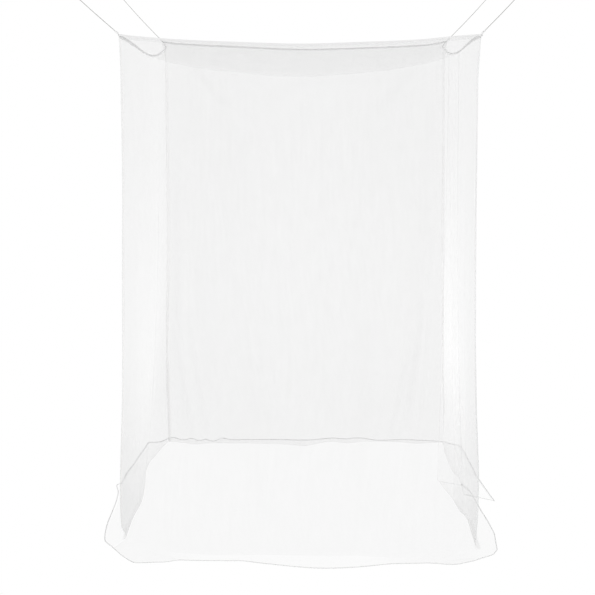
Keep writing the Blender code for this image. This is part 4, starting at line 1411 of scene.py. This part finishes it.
class NET_OT_bindings(bpy.types.Operator):
    """Binds the roof seam with twill tape, slightly puckered by its stitching"""

    bl_idname = "box_net.bindings"
    bl_label = "Roof tapes"

    def execute(self, context):
        across = np.linspace(0, 1, TAPE_STATIONS)
        half = TAPE_WIDTH / 2
        # The tape's outline, as shares of its thickness and heights from its middle.
        high, low = half - TAPE_CORNER, half - 2 * TAPE_CORNER
        brow = half - 0.3 * TAPE_CORNER
        upper = [(0, low), (0, high), (0.12, brow), (0.5, half), (0.88, brow), (1, high), (1, low)]
        section = upper + [(1, 0)] + [(share, -up) for share, up in upper[::-1]]
        for edge in EDGES:
            middle, outward, inner = binding_face(edge, across)
            run = 2 * np.pi * lengths(middle[:, None], 0)[:, 0]
            fine, coarse = PUCKER_PITCHES
            pucker = PUCKER * np.sin(run / fine) * np.sin(run / coarse)
            outer = inner + TAPE_THICKNESS + pucker
            lines = []
            for share, up in section:
                out = (inner + (outer - inner) * share)[:, None]
                lines.append(middle + outward * out + np.array([0, 0, up]))
            mesh = loft_mesh("tape_" + edge, np.stack(lines, 1), "twill_tape")
            add_piece("tape_of_" + edge, mesh, "binding_" + edge)
        return {"FINISHED"}


class NET_OT_tabs(bpy.types.Operator):
    """Folds a tape tab into a loop at each roof corner"""

    bl_idname = "box_net.tabs"
    bl_label = "Corner tabs"

    def execute(self, context):
        outer, half = TAB_HEIGHT / 2, TAB_WIDTH / 2
        inner = outer - TAPE_THICKNESS
        # The tape's outline, as shares of its half width and distances from the loop's middle.
        inside, outside = inner + TAPE_BEVEL, outer - TAPE_BEVEL
        section = (
            (-1, inside), (-0.94, inner), (0, inner), (0.94, inner), (1, inside),
            (1, outside), (0.94, outer), (0, outer), (-0.94, outer), (-1, outside),
        )
        for name, corner, direction in corner_sites():
            across = cross_direction(direction)
            upright = across.cross(direction)
            rings = []
            for along, first in ((outer, 90), (TAB_LENGTH - outer, 270)):
                centre = corner + direction * (TAB_STAND + along)
                for degrees in range(first, first + 181, TAB_TURN):
                    turn = math.radians(degrees)
                    ray = direction * math.cos(turn) + upright * math.sin(turn)
                    rings.append([centre + ray * out + across * (half * side) for side, out in section])
            mesh = loft_mesh("tab_" + name, rings, "twill_tape", closed=True)
            add_piece("tab_of_" + name, mesh, "tab_" + name)
        return {"FINISHED"}


class NET_OT_stitching(bpy.types.Operator):
    """Sews the tape and the corner seams, and overlocks the rolled hems"""

    bl_idname = "box_net.stitching"
    bl_label = "Stitching"

    def execute(self, context):
        sizes = context.scene.net_sizes
        share = np.linspace(*STITCHED)
        lines = []
        for edge in EDGES:
            middle, outward, inner = binding_face(edge, share)
            out = outward * (inner + TAPE_THICKNESS + STITCH_STAND)
            for up in TAPE_ROWS:
                lines.append((middle + out + np.array([0, 0, up]), False))
        self.sew("tape_stitches", lines, sizes, "binding_front")
        edges = {wall: edges_of_panel(wall, sizes) for wall in CLOTH_PIECES}
        for wall in ("front", "back"):
            lines = [(line, False) for line in edges[wall][1]]
            self.sew(wall + "_seam_stitches", lines, sizes, CLOTH_PIECES[wall], FINE_THREAD_RADIUS)
        for wall, (hem, _) in edges.items():
            roll = sizes.roll if wall == "front" else sizes.side_roll
            mesh = grown(
                wall + "_overlock", twisted_cord_tree(), [(hem, False)], "sewing_thread",
                Step=OVERLOCK_STEP, Pitch=OVERLOCK_PITCH, Ply_radius=FINE_THREAD_RADIUS,
                Ply_offset=roll / 2 + OVERLOCK_STAND, Plies=1.0,
            )
            add_piece(wall + "_overlock", mesh, CLOTH_PIECES[wall], replaces=False)
        return {"FINISHED"}

    def sew(self, name, lines, sizes, slot, radius=THREAD_RADIUS):
        """Adds rows of stitches as trim on a piece."""
        mesh = grown(
            name, stitch_row_tree(), lines, "sewing_thread", Spacing=sizes.stitch * 1.5,
            Stitch_length=sizes.stitch, Thread_radius=radius,
        )
        add_piece(name, mesh, slot, replaces=False)


def edges_of_panel(wall, sizes):
    """The middle of a panel's rolled hem, and the stitch lines of its corner seams."""
    points, _, turned = wall_cloth(wall, sizes)
    hem = points[:, -ROLL_STEPS - 1 :].mean(1)
    seams = []
    if wall in ("front", "back"):
        normals = normals_of(points, turned)
        hem = hem[ALLOWANCE_COLUMNS:-ALLOWANCE_COLUMNS]
        first = ALLOWANCE_COLUMNS
        for column, beside in ((first, first + 1), (-first - 1, -first - 2)):
            line = points[column] + unit(points[beside] - points[column]) * SEWN_INSET
            line += normals[beside] * SEWN_STAND
            seams.append(line[2 : len(HANG)])
    if wall == "right_front":
        hem = hem[: -ROLL_STEPS - 1]
    if wall == "right_rear":
        hem = hem[ROLL_STEPS + 1 :]
    return hem, seams


class NET_OT_cloth_facts(bpy.types.Operator):
    """Finishes at once, doing nothing"""

    bl_idname = "box_net.cloth_facts"
    bl_label = "Cut sizes"

    def execute(self, context):
        return {"FINISHED"}


class NET_PT_build(bpy.types.Panel):
    """Lists the net's sizes, colours and pieces"""

    bl_idname = "NET_PT_build"
    bl_label = "Box mosquito net"
    bl_space_type = "VIEW_3D"
    bl_region_type = "UI"
    bl_category = "Box net"

    def draw(self, context):
        for group in (context.scene.net_sizes, context.scene.net_tones, context.scene.net_studio):
            box = self.layout.box()
            for name in group.__annotations__:
                box.prop(group, name)
        for operator in OPERATORS:
            self.layout.operator(operator.bl_idname)


GROUPS = {"net_sizes": NetSizes, "net_tones": NetTones, "net_studio": StudioLight}
OPERATORS = (
    NET_OT_stage, NET_OT_corner_ties, NET_OT_roof, NET_OT_walls, NET_OT_door, NET_OT_bindings,
    NET_OT_tabs, NET_OT_stitching, NET_OT_cloth_facts,
)


def register():
    """Adds the classes to Blender and the settings to its scenes."""
    for made in (*GROUPS.values(), *OPERATORS, NET_PT_build):
        bpy.utils.register_class(made)
    for name, group in GROUPS.items():
        setattr(bpy.types.Scene, name, bpy.props.PointerProperty(type=group))


def unregister():
    """Takes the settings and the classes away again."""
    for name in GROUPS:
        delattr(bpy.types.Scene, name)
    for made in (NET_PT_build, *OPERATORS[::-1], *GROUPS.values()):
        bpy.utils.unregister_class(made)


def main():
    """Builds the net and its studio."""
    register()
    bpy.ops.box_net.stage()
    bpy.ops.box_net.corner_ties()
    bpy.ops.box_net.roof()
    bpy.ops.box_net.walls()
    bpy.ops.box_net.door()
    bpy.ops.box_net.bindings()
    bpy.ops.box_net.tabs()
    bpy.ops.box_net.stitching()
    bpy.ops.box_net.cloth_facts()


if __name__ == "__main__":
    main()
